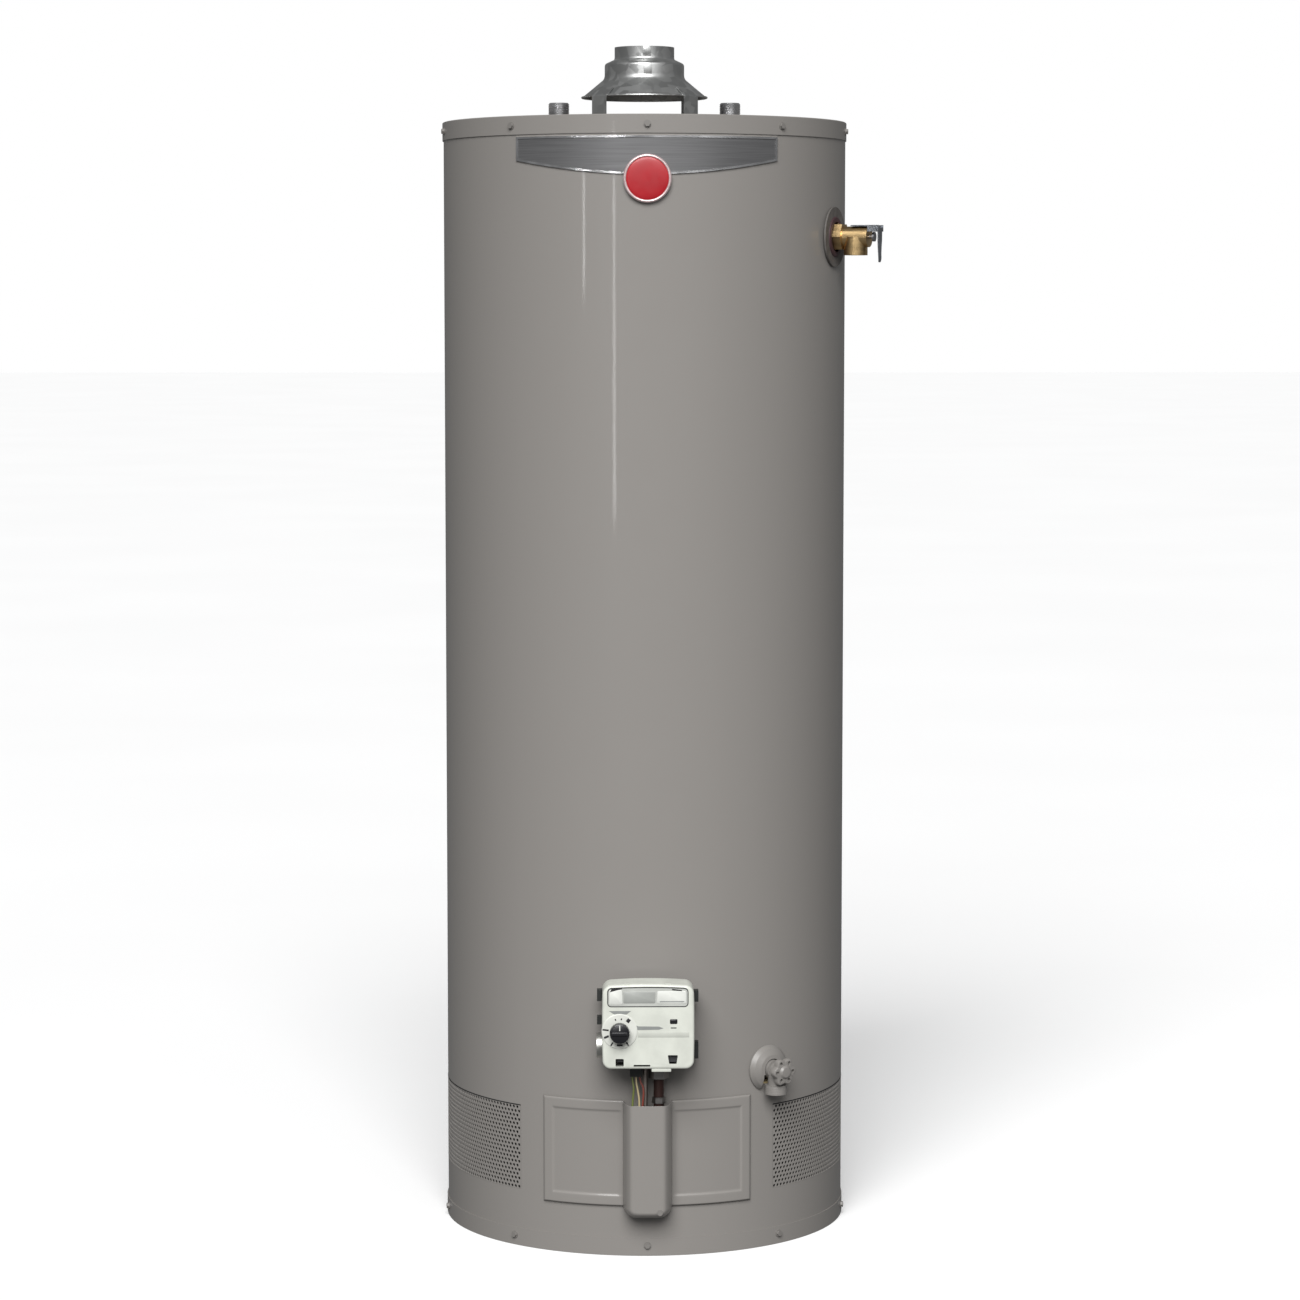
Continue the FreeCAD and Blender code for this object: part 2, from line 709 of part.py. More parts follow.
def make_chamber():
    floor_height = 24
    body = new_body("chamber_wall")
    section = new_sketch(body, "chamber_section", plane="XY_Plane", offset=SIZES["pan_floor"] + 0.1)
    draw_circle(section, 0, 0, TANK)
    draw_circle(section, 0, 0, TANK_INSIDE)
    pad(body, section, SIZES["tank_foot"] - SIZES["pan_floor"] - 0.2)
    opening = new_sketch(body, "chamber_opening")
    draw_polygon(opening, rectangle(-62, 62, 52, 176))
    pocket(body, opening, reversed_way=True)
    add_part(body, "combustion_skirt")
    add_part(tube("floor_plate", TANK_INSIDE - 0.5, 96, 1.5, z=floor_height), "combustion_floor")
    plate = cylinder("arrestor_plate", 108, 3, z=floor_height + 1.6)
    slots = []
    for row in range(-6, 7):
        reach = math.sqrt(90 * 90 - (row * 13) ** 2)
        slots.append(box("arrestor_slot_%d" % (row + 6), (-reach, row * 13 - 2, floor_height),
                         (reach, row * 13 + 2, floor_height + 6)))
    add_part(cut("arrestor", plate, *slots), "flame_arrestor")


def make_burner():
    low = 78
    dish = revolved("burner_dish", [
        (11, low - 16),
        (14, low - 16),
        (14, low - 3),
        (74, low + 4),
        (78, low + 12),
        (76, low + 12),
        (72, low + 6),
        (11, low - 1),
    ])
    add_part(dish, "burner_lower")
    cap = revolved("burner_cap", [
        (0, low + 21),
        (30, low + 21),
        (70, low + 15),
        (78, low + 12.1),
        (78, low + 14),
        (71, low + 17),
        (30, low + 23),
        (0, low + 23),
    ])
    add_part(cap, "burner_upper")
    bar = box("bracket_bar", (-8, -78, 40), (8, 16, 42))
    post = box("bracket_post", (-8, 14.2, 40), (8, 16.2, low - 3))
    feet = box("bracket_foot", (-26, -78, 30.2), (26, -60, 32.2))
    riser = box("bracket_riser", (-8, -78, 31), (8, -76, 42))
    add_part(fuse("bracket", bar, post, feet, riser), "burner_bracket")
    stand = box("pilot_stand", (-50, -92, 88), (-34, -90, 112))
    hood = box("pilot_hood", (-50, -92, 110), (-34, -80, 112))
    nozzle = cylinder("pilot_nozzle", 4, 14, -42, -86, 92)
    shelf = box("pilot_shelf", (-50, -92, 88), (-34, -80, 92.5))
    add_part(fuse("pilot", stand, hood, nozzle, shelf), "pilot_assembly")


def make_inner_door():
    half = 17.5
    gasket = ring_sector("gasket_sheet", TANK + 0.3, TANK + 2.3, 44, 184, -half, 2 * half)
    window = box("gasket_window", (-52, -260, 60), (52, -150, 168))
    add_part(cut("gasket", gasket, window), "inner_door_gasket")
    plate = ring_sector("door_sheet", TANK + 2.5, TANK + 4, 40, 188, -half - 1, 2 * half + 2)
    holes = [
        cylinder("door_pipe_hole", SIZES["manifold_radius"] + 0.6, 60, SIZES["manifold_x"], -200,
                 SIZES["pipe_height"], TO_FRONT),
        cylinder("door_pilot_hole", 4.2, 60, PILOT_X, -200, SIZES["pipe_height"], TO_FRONT),
        cylinder("door_wire_hole", 7.5, 60, -15.5, -200, SIZES["wire_height"], TO_FRONT),
        cylinder("door_sight_hole", 12, 60, SIZES["sight_x"], -200, SIZES["sight_height"], TO_FRONT),
    ]
    add_part(cut("inner_door_plate", plate, *holes), "inner_door")
    screws = []
    for x in (-62, 62):
        for z in (50, 178):
            azimuth = Size("asin(%d / (Sizes.tank_radius + 4))" % x,
                           math.degrees(math.asin(x / (TANK.value + 4))))
            head = hexagon("inner_screw_%d" % len(screws), 8, 4)
            screws.append(place_radially(head, azimuth, z, TANK + 4.1))
    add_part(group("inner_screws", screws), "inner_door_screws")
    add_part(cylinder("sight_disc", 14, 3, SIZES["sight_x"], -(TANK + 4.2), SIZES["sight_height"], TO_FRONT),
             "sight_glass")


def make_gas_lines():
    x = SIZES["manifold_x"]
    drop = -SIZES["manifold_front"]
    through = SIZES["pipe_height"]
    orifice_height = SIZES["orifice_height"]
    bend = 19
    radius = SIZES["manifold_radius"].value
    tube_path = [
        (x, drop, 243),
        (x, drop, through),
        (x, -190, through),
        (0, -95, orifice_height),
        (0, -22, orifice_height),
    ]
    add_shape("manifold_tube", swept_rod(tube_path, bend, radius))
    nut = hexagon("manifold_nut_stock", 22, 14, x, drop, 229)
    hole = cylinder("manifold_nut_bore", SIZES["manifold_radius"] + 0.05, 40, x, drop, 220)
    nut_low = cut("manifold_nut", nut, hole)
    elbow = cylinder("orifice_body", 9, 19, 0, -15, orifice_height, TO_FRONT)
    elbow_bore = cylinder("orifice_bore", SIZES["manifold_radius"] + 0.05, 20, 0, -21.9, orifice_height,
                          TO_FRONT)
    spud = cylinder("orifice_spud", 5, 9, 0, 0, 51)
    arm = box("orifice_arm", (-5, -16, 51), (5, 2, 58))
    orifice = cut("orifice", fuse("orifice_stock", elbow, spud, arm), elbow_bore)
    add_part(group("manifold_joints", [nut_low, orifice]), "manifold_fittings")
    pilot_path = [
        (PILOT_X, drop, 257.9),
        (PILOT_X, drop, through),
        (PILOT_X, -150, through),
        (-42, -120, 100),
        (-42, -93, 100),
    ]
    add_shape("pilot_tube", swept_rod(pilot_path, 9, 3.1))


def make_wires():
    """Three insulated leads from the control's plug down the channel and in to the pilot."""
    wires = []
    through = SIZES["wire_height"]
    drop = -(SIZES["manifold_front"] + 5)
    plug_low = 232.1
    pitch = 4.5
    for index in range(3):
        x = -19 + pitch * index
        inside = -20 + pitch * index
        path = [
            (x, drop, plug_low - 0.1),
            (x, drop, 150),
            (inside, drop + 12, through),
            (inside, -150, through),
            (inside - 16, -93, through),
        ]
        wires.append(swept_rod(path, 8, 1.2))
    add_shape("wire_harness", Part.makeCompound(wires))
    plug = box("plug_block", (-22, -286.6, plug_low), (-7, -274, 257.8))
    add_part(plug, "wire_connector")


# ---------------------------------------------------------------- access door

def make_outer_door():
    low = SIZES["door_low"]
    high = SIZES["door_high"]
    half = SIZES["door_half_angle"]
    outside = JACKET + SIZES["door_proud"]
    inner_field = outside - 2.4
    channel = SIZES["channel_half_width"]
    front = -SIZES["channel_front"]
    trough_low = SIZES["channel_low"]
    wall = 1.2
    panel = ring_sector("door_panel", JACKET + 0.5, outside, low, high, -half, 2 * half)
    edge = 12
    trough_body = prism("door_trough", rectangle(-channel, channel, front, -235, edge), high - trough_low,
                        plane="XY_Plane", offset=trough_low)
    hollow = ring_sector("door_hollow", JACKET - 20, inner_field, low + 1.2, high - 1.2,
                         -half + 0.3, 2 * half - 0.6)
    passage = prism("door_passage", rectangle(-channel + wall, channel - wall, front + wall, -200, edge - wall),
                    high - trough_low, plane="XY_Plane", offset=trough_low + wall)
    back = cylinder("door_back", JACKET + 0.5, 300, z=20)
    field = ring_sector("door_field", outside - 1.2, outside + 20, low + 14, high - 14,
                        -half + 3.2, 2 * half - 6.4)
    keep = prism("field_keep", rectangle(-channel - 6, channel + 6, -300, -200), 300,
                 plane="XY_Plane", offset=20)
    recess = cut("door_recess", field, keep)
    solid = cut("door_shell", fuse("door_stock", panel, trough_body), hollow, passage, back, recess)
    add_part(solid, "outer_door")
    add_part(cylinder("door_screw_head", 3.4, 2.4, channel - 15.5, front - 0.1, trough_low + 12.5, TO_FRONT),
             "door_screw")


# ---------------------------------------------------------------- gas control

def make_control_body():
    front = SIZES["cover_front"]
    core = prism("control_core", rectangle(-44, 44, 258, 348, 6), 52, offset=front - 58)
    height = SIZES["control_height"]
    neck = cylinder("control_neck", 20, 34, 0, -(front - 86), height, TO_FRONT)
    shank = cylinder("control_shank", 10.5, 40, 0, -(TANK - 7), height, TO_FRONT)
    outlet = cylinder("control_outlet", 10, 16, SIZES["manifold_x"], -SIZES["manifold_front"], 243.1)
    inlet_face = cylinder("control_inlet", 17, 14, -32, -SIZES["inlet_front"], SIZES["inlet_height"],
                          TO_LEFT)
    stem_hole = cylinder("stem_hole", 3 + SIZES["pin_play"], 30, SIZES["knob_x"], -(front - 30),
                         SIZES["knob_height"], TO_FRONT)
    inlet_hole = cylinder("inlet_hole", 15.6, 40, -40, -SIZES["inlet_front"], SIZES["inlet_height"],
                          TO_LEFT)
    stock = fuse("control_stock", core, neck, shank, outlet, inlet_face)
    add_part(cut("control_body", stock, stem_hole, inlet_hole), "gas_valve_body")
    boss = tube("inlet_boss", 15.5, SIZES["inlet_bore"], 23, -40.1, -SIZES["inlet_front"],
                SIZES["inlet_height"], TO_LEFT)
    add_part(boss, "gas_inlet_adapter")
    well = cylinder("well", 6, 130, 0, -(TANK - 7.1) + 130, height, TO_FRONT)
    add_part(well, "thermowell")


def make_control_cover():
    half = SIZES["cover_half_width"]
    low = SIZES["cover_low"]
    high = SIZES["cover_high"]
    front = SIZES["cover_front"]
    depth = SIZES["cover_depth"]
    wall = 2
    body = new_body("cover_shell")
    outline = new_sketch(body, "cover_outline", offset=front - depth)
    draw_polygon(outline, rectangle(-half, half, low, high))
    block = pad(body, outline, depth)
    corners = fillet(body, block, 10, lambda edge: abs(edge.tangentAt(edge.FirstParameter).y) > 0.9)
    lip = -front.value
    rounded = fillet(body, corners, 3, lambda edge: abs(edge.CenterOfMass.y - lip) < 0.01)
    body.Tip = rounded
    inside = new_sketch(body, "cover_inside", offset=front - depth)
    draw_polygon(inside, rectangle(-half + wall, half - wall, low + wall, high - wall, 5))
    pocket(body, inside, depth - wall, reversed_way=True)
    window = new_sketch(body, "label_recess", offset=front)
    draw_polygon(window, rectangle(-50, 49, 327, 352, 4))
    pocket(body, window, 1.2)
    holes = new_sketch(body, "cover_holes", offset=front)
    draw_circle(holes, SIZES["knob_x"], SIZES["knob_height"], 5)
    draw_polygon(holes, rectangle(-40, -30, 253.5, 263))
    draw_polygon(holes, rectangle(25, 35, 256, 266, 2))
    draw_polygon(holes, rectangle(26.7, 35.3, 306.2, 311.8))
    pocket(body, holes)
    slots = new_sketch(body, "cover_slots", plane="XY_Plane", offset=low - 5)
    inlet = -SIZES["inlet_front"]
    draw_polygon(slots, rectangle(-half - 5, -half + 5, inlet - 17, -(front - depth) + 5))
    pocket(body, slots, 45, reversed_way=True)
    add_part(body, "gas_valve_cover")
    label = prism("label_card", rectangle(-49.6, 48.6, 327.4, 351.6, 4), 0.8, offset=front - 1.15)
    add_part(label, "control_label_window")
    lens = prism("status_lens", rectangle(26.8, 35.2, 306.3, 311.7), 2.4, offset=front - 2.2)
    add_part(lens, "status_window")
    dial = tube("dial_disc", 22, 5, 0.9, SIZES["knob_x"], -(front + 0.05), SIZES["knob_height"],
                TO_FRONT)
    add_part(dial, "dial_plate")
    clips = []
    side_back = -(front - depth) + 4
    for index, (side, clip_low, clip_high) in enumerate((
        (-1, 326, 340),
        (-1, 297, 307),
        (1, 325, 339),
        (1, 254, 275),
    )):
        near = side * (half.value + 0.2)
        far = side * (half.value + 6)
        root = side * (half.value - 4)
        lug = box("clip_lug_%d" % index,
                  (min(near, far), side_back, clip_low), (max(near, far), side_back + 10, clip_high))
        tab = box("clip_tab_%d" % index,
                  (min(root, far), side_back + 10, clip_low), (max(root, far), side_back + 12, clip_high))
        clips.append(fuse("control_clip_%d" % index, lug, tab))
    rails = [
        box("clip_rail_left", (-half + 2, side_back + 10, 290), (-half + 12.2, side_back + 12, 342)),
        box("clip_rail_right", (half - 12.2, side_back + 10, 254), (half - 2, side_back + 12, 342)),
    ]
    left = fuse("clip_left", clips[0], clips[1], rails[0])
    right = fuse("clip_right", clips[2], clips[3], rails[1])
    add_part(group("control_clips", [left, right]), "gas_valve_clips")


def make_control_knob():
    front = SIZES["cover_front"]
    x = SIZES["knob_x"]
    height = SIZES["knob_height"]
    radius = SIZES["knob_radius"]
    shaft = cylinder("stem_shaft", 3, 31, x, -(front - 20), height, TO_FRONT)
    add_part(shaft, "control_stem")
    start = front + 6.2
    disc = cylinder("knob_disc", radius, 12, x, -start, height, TO_FRONT)
    pointer = box("knob_pointer", (x - 1, -(start + 13), height), (x + 1, -(start + 11), height + radius))
    bore = cylinder("knob_bore", 3 + SIZES["pin_play"], 11, x, -(start - 1), height, TO_FRONT)
    add_part(cut("knob", fuse("knob_stock", disc, pointer), bore), "control_knob")


# ---------------------------------------------------------------- relief valve

def make_relief_valve():
    """The valve is drawn standing on the jacket: its own +Z points out and its own +Y up."""
    azimuth = SIZES["relief_angle"]
    height = SIZES["relief_height"]
    outlet_out = SIZES["relief_outlet_out"]
    tank_face = -(JACKET - TANK)

    def stand(item, label):
        return add_part(place_radially(item, azimuth, height), label)

    flange = tube("relief_flange", 37.5, 20, 2, z=0.6)
    stand(group("relief_gasket", [flange]), "tp_escutcheon")
    inlet = cylinder("relief_inlet", SIZES["nipple_radius"], 24, z=tank_face - 4)
    nut = hexagon("relief_hex", 31.5, 24, z=tank_face + 19)
    neck_end = 47.5
    wall = 3
    neck = cylinder("relief_neck", 13, neck_end - 9.5, z=9.5)
    outlet = cylinder("relief_outlet", 15, 23, z=outlet_out, turn=TO_FRONT)
    bore = cylinder("relief_bore", 8.6, 60 + neck_end - wall, z=-60)
    guide = cylinder("relief_guide", 2.4 + SIZES["pin_play"], 20, z=neck_end - 10)
    outlet_bore = cylinder("relief_outlet_bore", SIZES["relief_outlet_bore"], 13.1, y=-10,
                           z=outlet_out, turn=TO_FRONT)
    passage = cylinder("relief_passage", 8, 14, z=outlet_out, turn=TO_FRONT)
    stock = fuse("relief_stock", inlet, nut, neck, outlet)
    stand(cut("relief_body", stock, bore, guide, outlet_bore, passage), "tp_valve_body")
    probe = cylinder("relief_probe", 4, 140, z=tank_face - 130)
    seat_disc = cylinder("relief_probe_collar", 8.4, 4, z=tank_face + 6)
    stand(fuse("relief_sensor", probe, seat_disc), "tp_probe")
    spring_foot = 17.6
    spring_path = Part.makeHelix(4.2, neck_end - wall - 1 - spring_foot, 6.2)
    wire = Part.Wire(Part.makeCircle(0.8, Vector(6.2, 0, 0), Vector(0, 1, 0)))
    spring = Part.Wire(spring_path.Edges).makePipeShell([wire], True, True)
    coil = doc.addObject("Part::Feature", "relief_coil")
    coil.Shape = spring
    place_radially(coil, azimuth, height, JACKET + spring_foot)
    add_part(coil, "tp_spring")
    rod = cylinder("stem_rod", 2.4, neck_end - 10, z=16)
    disc = cylinder("stem_disc", 8.2, 3, z=tank_face + 42)
    link = cylinder("stem_link", 2.4, 10, z=tank_face + 40)
    cap = cylinder("stem_cap", 6, 2.5, z=neck_end + 5)
    stand(fuse("relief_stem", rod, disc, link, cap), "tp_stem")

    # The lever hangs in front of the stem from a pin that a strap on the bonnet holds.
    pin_out = SIZES["lever_pin_out"]
    pin_up = SIZES["lever_pin_up"]
    cross = TO_RIGHT
    ear_inside = 8.8
    ear_outside = 10.3
    strap_low = 13.1
    strap_high = 14.6
    pin_radius = 1.5
    strap = box("strap_top", (-ear_outside, strap_low, 26), (ear_outside, strap_high, pin_out - 4))
    ears = []
    for side in (-1, 1):
        inner, outer = sorted((side * ear_inside, side * ear_outside))
        ears.append(box("strap_ear_%d" % (side + 1), (inner, pin_up - 3.5, neck_end + 0.5),
                        (outer, strap_high, pin_out + 3.5)))
    pin_hole = cylinder("strap_pin_hole", pin_radius, 30, -15, pin_up, pin_out, cross)
    stand(cut("strap", fuse("strap_stock", strap, *ears), pin_hole), "tp_lever_bracket")
    pin = cylinder("lever_pin_rod", pin_radius, 22, -11, pin_up, pin_out, cross)
    stand(group("lever_pin", [pin]), "tp_lever_pin")
    knuckle = cylinder("lever_knuckle", 3, 16.8, -8.4, pin_up, pin_out, cross)
    tongue = box("lever_tongue", (-7.5, -12, pin_out + 1.6), (7.5, pin_up, pin_out + 3))
    tip = box("lever_tip", (-5.5, -32, pin_out + 1.6), (5.5, -11, pin_out + 3))
    bore = cylinder("lever_bore", pin_radius + SIZES["pin_play"], 30, -15, pin_up, pin_out, cross)
    stand(cut("lever", fuse("lever_stock", knuckle, tongue, tip), bore), "tp_lever")


# ---------------------------------------------------------------- drain valve

def make_drain_valve():
    azimuth = SIZES["drain_angle"]
    height = SIZES["drain_height"]
    tank_face = -(JACKET - TANK)

    def stand(item, label):
        return add_part(place_radially(item, azimuth, height), label)

    dome = revolved("drain_dome", [
        (29, 0.6),
        (29, 2),
        (25, 7),
        (18, 11),
        (13.2, 12),
        (13.2, 10.6),
        (17.5, 9.6),
        (23.8, 6),
        (27.5, 1.6),
        (27.5, 0.6),
    ])
    outlet_slot = box("dome_slot", (-13.8, -60, 0), (13.8, -6, 30))
    stand(cut("drain_flange", dome, outlet_slot), "drain_escutcheon")
    barrel = cylinder("drain_barrel", 12, 14 - tank_face - 16, z=tank_face + 18)
    shank = cylinder("drain_shank", 10.4, 30, z=tank_face - 8)
    outlet_out = SIZES["drain_outlet_out"]
    outlet_top = -SIZES["drain_outlet_top"]
    thread = SIZES["drain_outlet_length"]
    outlet = cylinder("drain_outlet", SIZES["drain_outlet"], thread, y=outlet_top, z=outlet_out,
                      turn=TO_FRONT)
    neck = cylinder("drain_neck", 10, 20, y=0, z=outlet_out, turn=TO_FRONT)
    bonnet = cylinder("drain_bonnet", 9, 25 - tank_face - 20, z=tank_face + 20)
    hollow = cylinder("drain_hollow", 7.2, 29, z=-8)
    bore = cylinder("drain_bore", 9.5, thread, y=outlet_top - 1, z=outlet_out, turn=TO_FRONT)
    throat = cylinder("drain_throat", 7, 22, y=-2, z=outlet_out, turn=TO_FRONT)
    stem_hole = cylinder("drain_stem_hole", 4 + SIZES["pin_play"], 60, z=0)
    stock = fuse("drain_stock", barrel, shank, outlet, neck, bonnet)
    stand(cut("drain_body", stock, hollow, bore, throat, stem_hole), "drain_valve_body")
    rod = cylinder("drain_rod", 4, 37, z=-6)
    washer = cylinder("drain_washer", 6.9, 3.5, z=-6)
    stand(fuse("drain_spindle", rod, washer), "drain_stem")
    handle_low = 28
    thickness = 8
    lobes = []
    count = 6
    for index in range(count):
        angle = 2 * math.pi * index / count
        lobes.append(cylinder("handle_lobe_%d" % index, 6, thickness, 12 * math.cos(angle),
                              12 * math.sin(angle), handle_low))
    hub = cylinder("handle_hub", 13, thickness, z=handle_low)
    crown = cylinder("handle_crown", 7, 3, z=handle_low + thickness - 1)
    socket = cylinder("handle_socket", 4 + SIZES["pin_play"], 4.1, z=handle_low - 1)
    stand(cut("handle", fuse("handle_stock", hub, crown, *lobes), socket), "drain_handle")


# ---------------------------------------------------------------- draft hood

def make_draft_hood():
    skin = SIZES["hood_sheet"]
    collar = SIZES["hood_collar"]
    tier = SIZES["hood_tier"]
    rim = SIZES["hood_rim"]
    low = SIZES["hood_rim_height"]
    waist = SIZES["hood_waist"]
    shoulder = SIZES["hood_shoulder"]
    foot = SIZES["hood_collar_foot"]
    top = SIZES["hood_top"]
    body = revolved("hood_shell", [
        (rim, low),
        (tier + 1, waist),
        (tier, waist + 2),
        (tier, shoulder - 1.5),
        (tier - 1.5, shoulder),
        (collar + 1, foot - 1),
        (collar, foot),
        (collar, top),
        (collar - skin, top),
        (collar - skin, foot - 0.6),
        (tier - 1.5 - skin, shoulder - skin),
        (tier - skin, shoulder - 2.4),
        (tier - skin, waist + 2),
        (tier + 1 - skin * 1.4, waist),
        (rim - skin * 1.4, low),
    ])
    add_part(body, "draft_hood")
    legs = []
    rivets = []
    slope = (rim - tier - 1) / (waist - low)
    foot_reach = rim + 15
    strap = 1
    rise = 12
    for index in range(4):
        azimuth = 45 + 90 * index
        outline = [
            (foot_reach, LID_TOP + 0.05),
            (foot_reach, LID_TOP + strap),
            (rim + 0.4 + strap, LID_TOP + strap),
            (rim + 0.4 + strap, low + 0.4),
            (rim + 2.4 - slope * rise, low + rise + 0.2),
            (rim + 1.3 - slope * rise, low + rise - 0.8),
            (rim + 0.4, low - 0.2),
            (rim + 0.4, LID_TOP + 0.05),
        ]
        legs.append(prism("hood_leg_%d" % index, outline, SIZES["leg_width"], azimuth=azimuth,
                          both_ways=True))
        rivet = cylinder("hood_rivet_%d" % index, 3.2, 1.8)
        angle = math.radians(azimuth)
        reach = foot_reach - 7
        rivets.append(place(rivet, reach * math.cos(angle), reach * math.sin(angle),
                            LID_TOP + strap + 0.05))
    add_part(group("hood_leg_set", legs + rivets), "hood_legs")


# ---------------------------------------------------------------- build, check and write

def check_everything():
    for item in doc.Objects:
        if "Invalid" in item.State or "Error" in item.State:
            raise RuntimeError("%s failed: %s" % (item.Name, item.State))
    for item in parts:
        if item.Shape.isNull() or not item.Shape.isValid():
            raise RuntimeError(item.Label + " has no valid shape")


def main():
    make_base()
    make_jacket()
    make_vent_panels()
    make_lid()
    make_badge()
    make_tank()
    make_foam()
    make_flue()
    make_water_fittings()
    make_chamber()
    make_burner()
    make_inner_door()
    make_gas_lines()
    make_wires()
    make_outer_door()
    make_control_body()
    make_control_cover()
    make_control_knob()
    make_relief_valve()
    make_drain_valve()
    make_draft_hood()
    doc.recompute()
    check_everything()
    os.makedirs("parts", exist_ok=True)
    for item in parts:
        item.Shape.exportStep("parts/" + item.Label + ".step")
        print(item.Label, len(item.Shape.Solids), round(item.Shape.Volume))
    print(len(parts), "sub-parts")


main()
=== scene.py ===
import json
import math

import bmesh
import bpy
from mathutils import Matrix, Vector


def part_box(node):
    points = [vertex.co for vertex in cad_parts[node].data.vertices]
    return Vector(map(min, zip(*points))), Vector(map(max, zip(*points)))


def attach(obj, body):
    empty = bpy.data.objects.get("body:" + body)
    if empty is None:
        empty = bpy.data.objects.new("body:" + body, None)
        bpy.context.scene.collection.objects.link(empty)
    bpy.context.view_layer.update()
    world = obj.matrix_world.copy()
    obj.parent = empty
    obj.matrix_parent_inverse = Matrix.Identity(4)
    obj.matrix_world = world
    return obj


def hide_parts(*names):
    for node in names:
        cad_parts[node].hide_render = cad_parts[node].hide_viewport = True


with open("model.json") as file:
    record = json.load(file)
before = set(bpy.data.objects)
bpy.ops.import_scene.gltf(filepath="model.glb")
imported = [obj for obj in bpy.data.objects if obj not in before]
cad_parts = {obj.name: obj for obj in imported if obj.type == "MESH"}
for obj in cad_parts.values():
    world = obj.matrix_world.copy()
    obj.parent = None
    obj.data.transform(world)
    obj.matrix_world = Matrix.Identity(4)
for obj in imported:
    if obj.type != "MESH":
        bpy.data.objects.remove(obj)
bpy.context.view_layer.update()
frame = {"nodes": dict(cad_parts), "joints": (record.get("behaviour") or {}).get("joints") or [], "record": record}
nodes = frame["nodes"]
joints = {joint["name"]: joint for joint in frame["joints"]}
mounts = {mount["name"]: mount for mount in frame["record"]["mounts"]}

MM = 0.001
SMOOTH_ANGLE = math.radians(32)


# ---------------------------------------------------------------- places read from the frame

jacket_low, jacket_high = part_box("jacket")
JACKET_R = (jacket_high.x - jacket_low.x) / 2
lid_low, lid_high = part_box("top_cover")
LID_TOP = lid_high.z
LID_R = (lid_high.x - lid_low.x) / 2


def azimuth_of(axis):
    """Degrees round the jacket, 0 at the front and positive towards +X."""
    return math.degrees(math.atan2(axis[0], -axis[1]))


def radial_stand(azimuth, radius, height):
    """A frame on the jacket: its +Z points out, its +Y up."""
    turn = Matrix.Rotation(math.radians(azimuth), 4, "Z") @ Matrix.Rotation(math.radians(90), 4, "X")
    angle = math.radians(azimuth)
    at = Vector((radius * math.sin(angle), -radius * math.cos(angle), height))
    return Matrix.Translation(at) @ turn


def front_stand(x, y, z):
    """A frame that faces the front: its +Z points to -Y, its +Y up."""
    return Matrix.Translation(Vector((x, y, z))) @ Matrix.Rotation(math.radians(90), 4, "X")


# ---------------------------------------------------------------- materials

class Finish:
    """One procedural material, with short calls for the nodes it needs."""

    def __init__(self, name, roughness=0.5, metallic=0.0, **sockets):
        self.material = bpy.data.materials.new(name)
        self.material.use_nodes = True
        self.tree = self.material.node_tree
        self.shader = self.tree.nodes["Principled BSDF"]
        self.shader.inputs["Roughness"].default_value = roughness
        self.shader.inputs["Metallic"].default_value = metallic
        for label, value in sockets.items():
            self.shader.inputs[label.replace("_", " ")].default_value = value
        self.place = self.tree.nodes.new("ShaderNodeTexCoord").outputs["Object"]
        self.normal = None

    def node(self, kind, **settings):
        made = self.tree.nodes.new(kind)
        for label, value in settings.items():
            setattr(made, label, value)
        return made

    def link(self, source, target):
        self.tree.links.new(source, target)

    def stretched(self, scale):
        mapping = self.node("ShaderNodeMapping")
        mapping.inputs["Scale"].default_value = scale
        self.link(self.place, mapping.inputs["Vector"])
        return mapping.outputs["Vector"]

    def noise(self, scale, detail=3.0, stretch=(1, 1, 1)):
        made = self.node("ShaderNodeTexNoise")
        made.inputs["Scale"].default_value = scale
        made.inputs["Detail"].default_value = detail
        self.link(self.stretched(stretch), made.inputs["Vector"])
        return made.outputs["Fac"]

    def cells(self, scale, feature="F1", output="Distance", stretch=(1, 1, 1)):
        made = self.node("ShaderNodeTexVoronoi", feature=feature)
        made.inputs["Scale"].default_value = scale
        self.link(self.stretched(stretch), made.inputs["Vector"])
        return made.outputs[output]

    def ramp(self, amount, stops):
        made = self.node("ShaderNodeValToRGB")
        points = made.color_ramp.elements
        while len(points) < len(stops):
            points.new(0.5)
        for point, (position, colour) in zip(points, stops):
            point.position = position
            point.color = (*colour, 1.0)
        self.link(amount, made.inputs["Fac"])
        return made.outputs["Color"]

    def spread(self, amount, low, high, start=0.3, end=0.7):
        made = self.node("ShaderNodeMapRange")
        made.inputs["From Min"].default_value = start
        made.inputs["From Max"].default_value = end
        made.inputs["To Min"].default_value = low
        made.inputs["To Max"].default_value = high
        self.link(amount, made.inputs["Value"])
        return made.outputs["Result"]

    def colour(self, amount, first, second, start=0.35, end=0.65):
        self.link(self.ramp(amount, [(start, first), (end, second)]), self.shader.inputs["Base Color"])
        return self

    def rough(self, amount, low, high):
        self.link(self.spread(amount, low, high), self.shader.inputs["Roughness"])
        return self

    def bump(self, amount, strength, depth=0.0002):
        made = self.node("ShaderNodeBump")
        made.inputs["Strength"].default_value = strength
        made.inputs["Distance"].default_value = depth
        self.link(amount, made.inputs["Height"])
        if self.normal is not None:
            self.link(self.normal, made.inputs["Normal"])
        self.normal = made.outputs["Normal"]
        self.link(self.normal, self.shader.inputs["Normal"])
        return self


def shade(colour, factor):
    return tuple(min(1.0, channel * factor) for channel in colour)


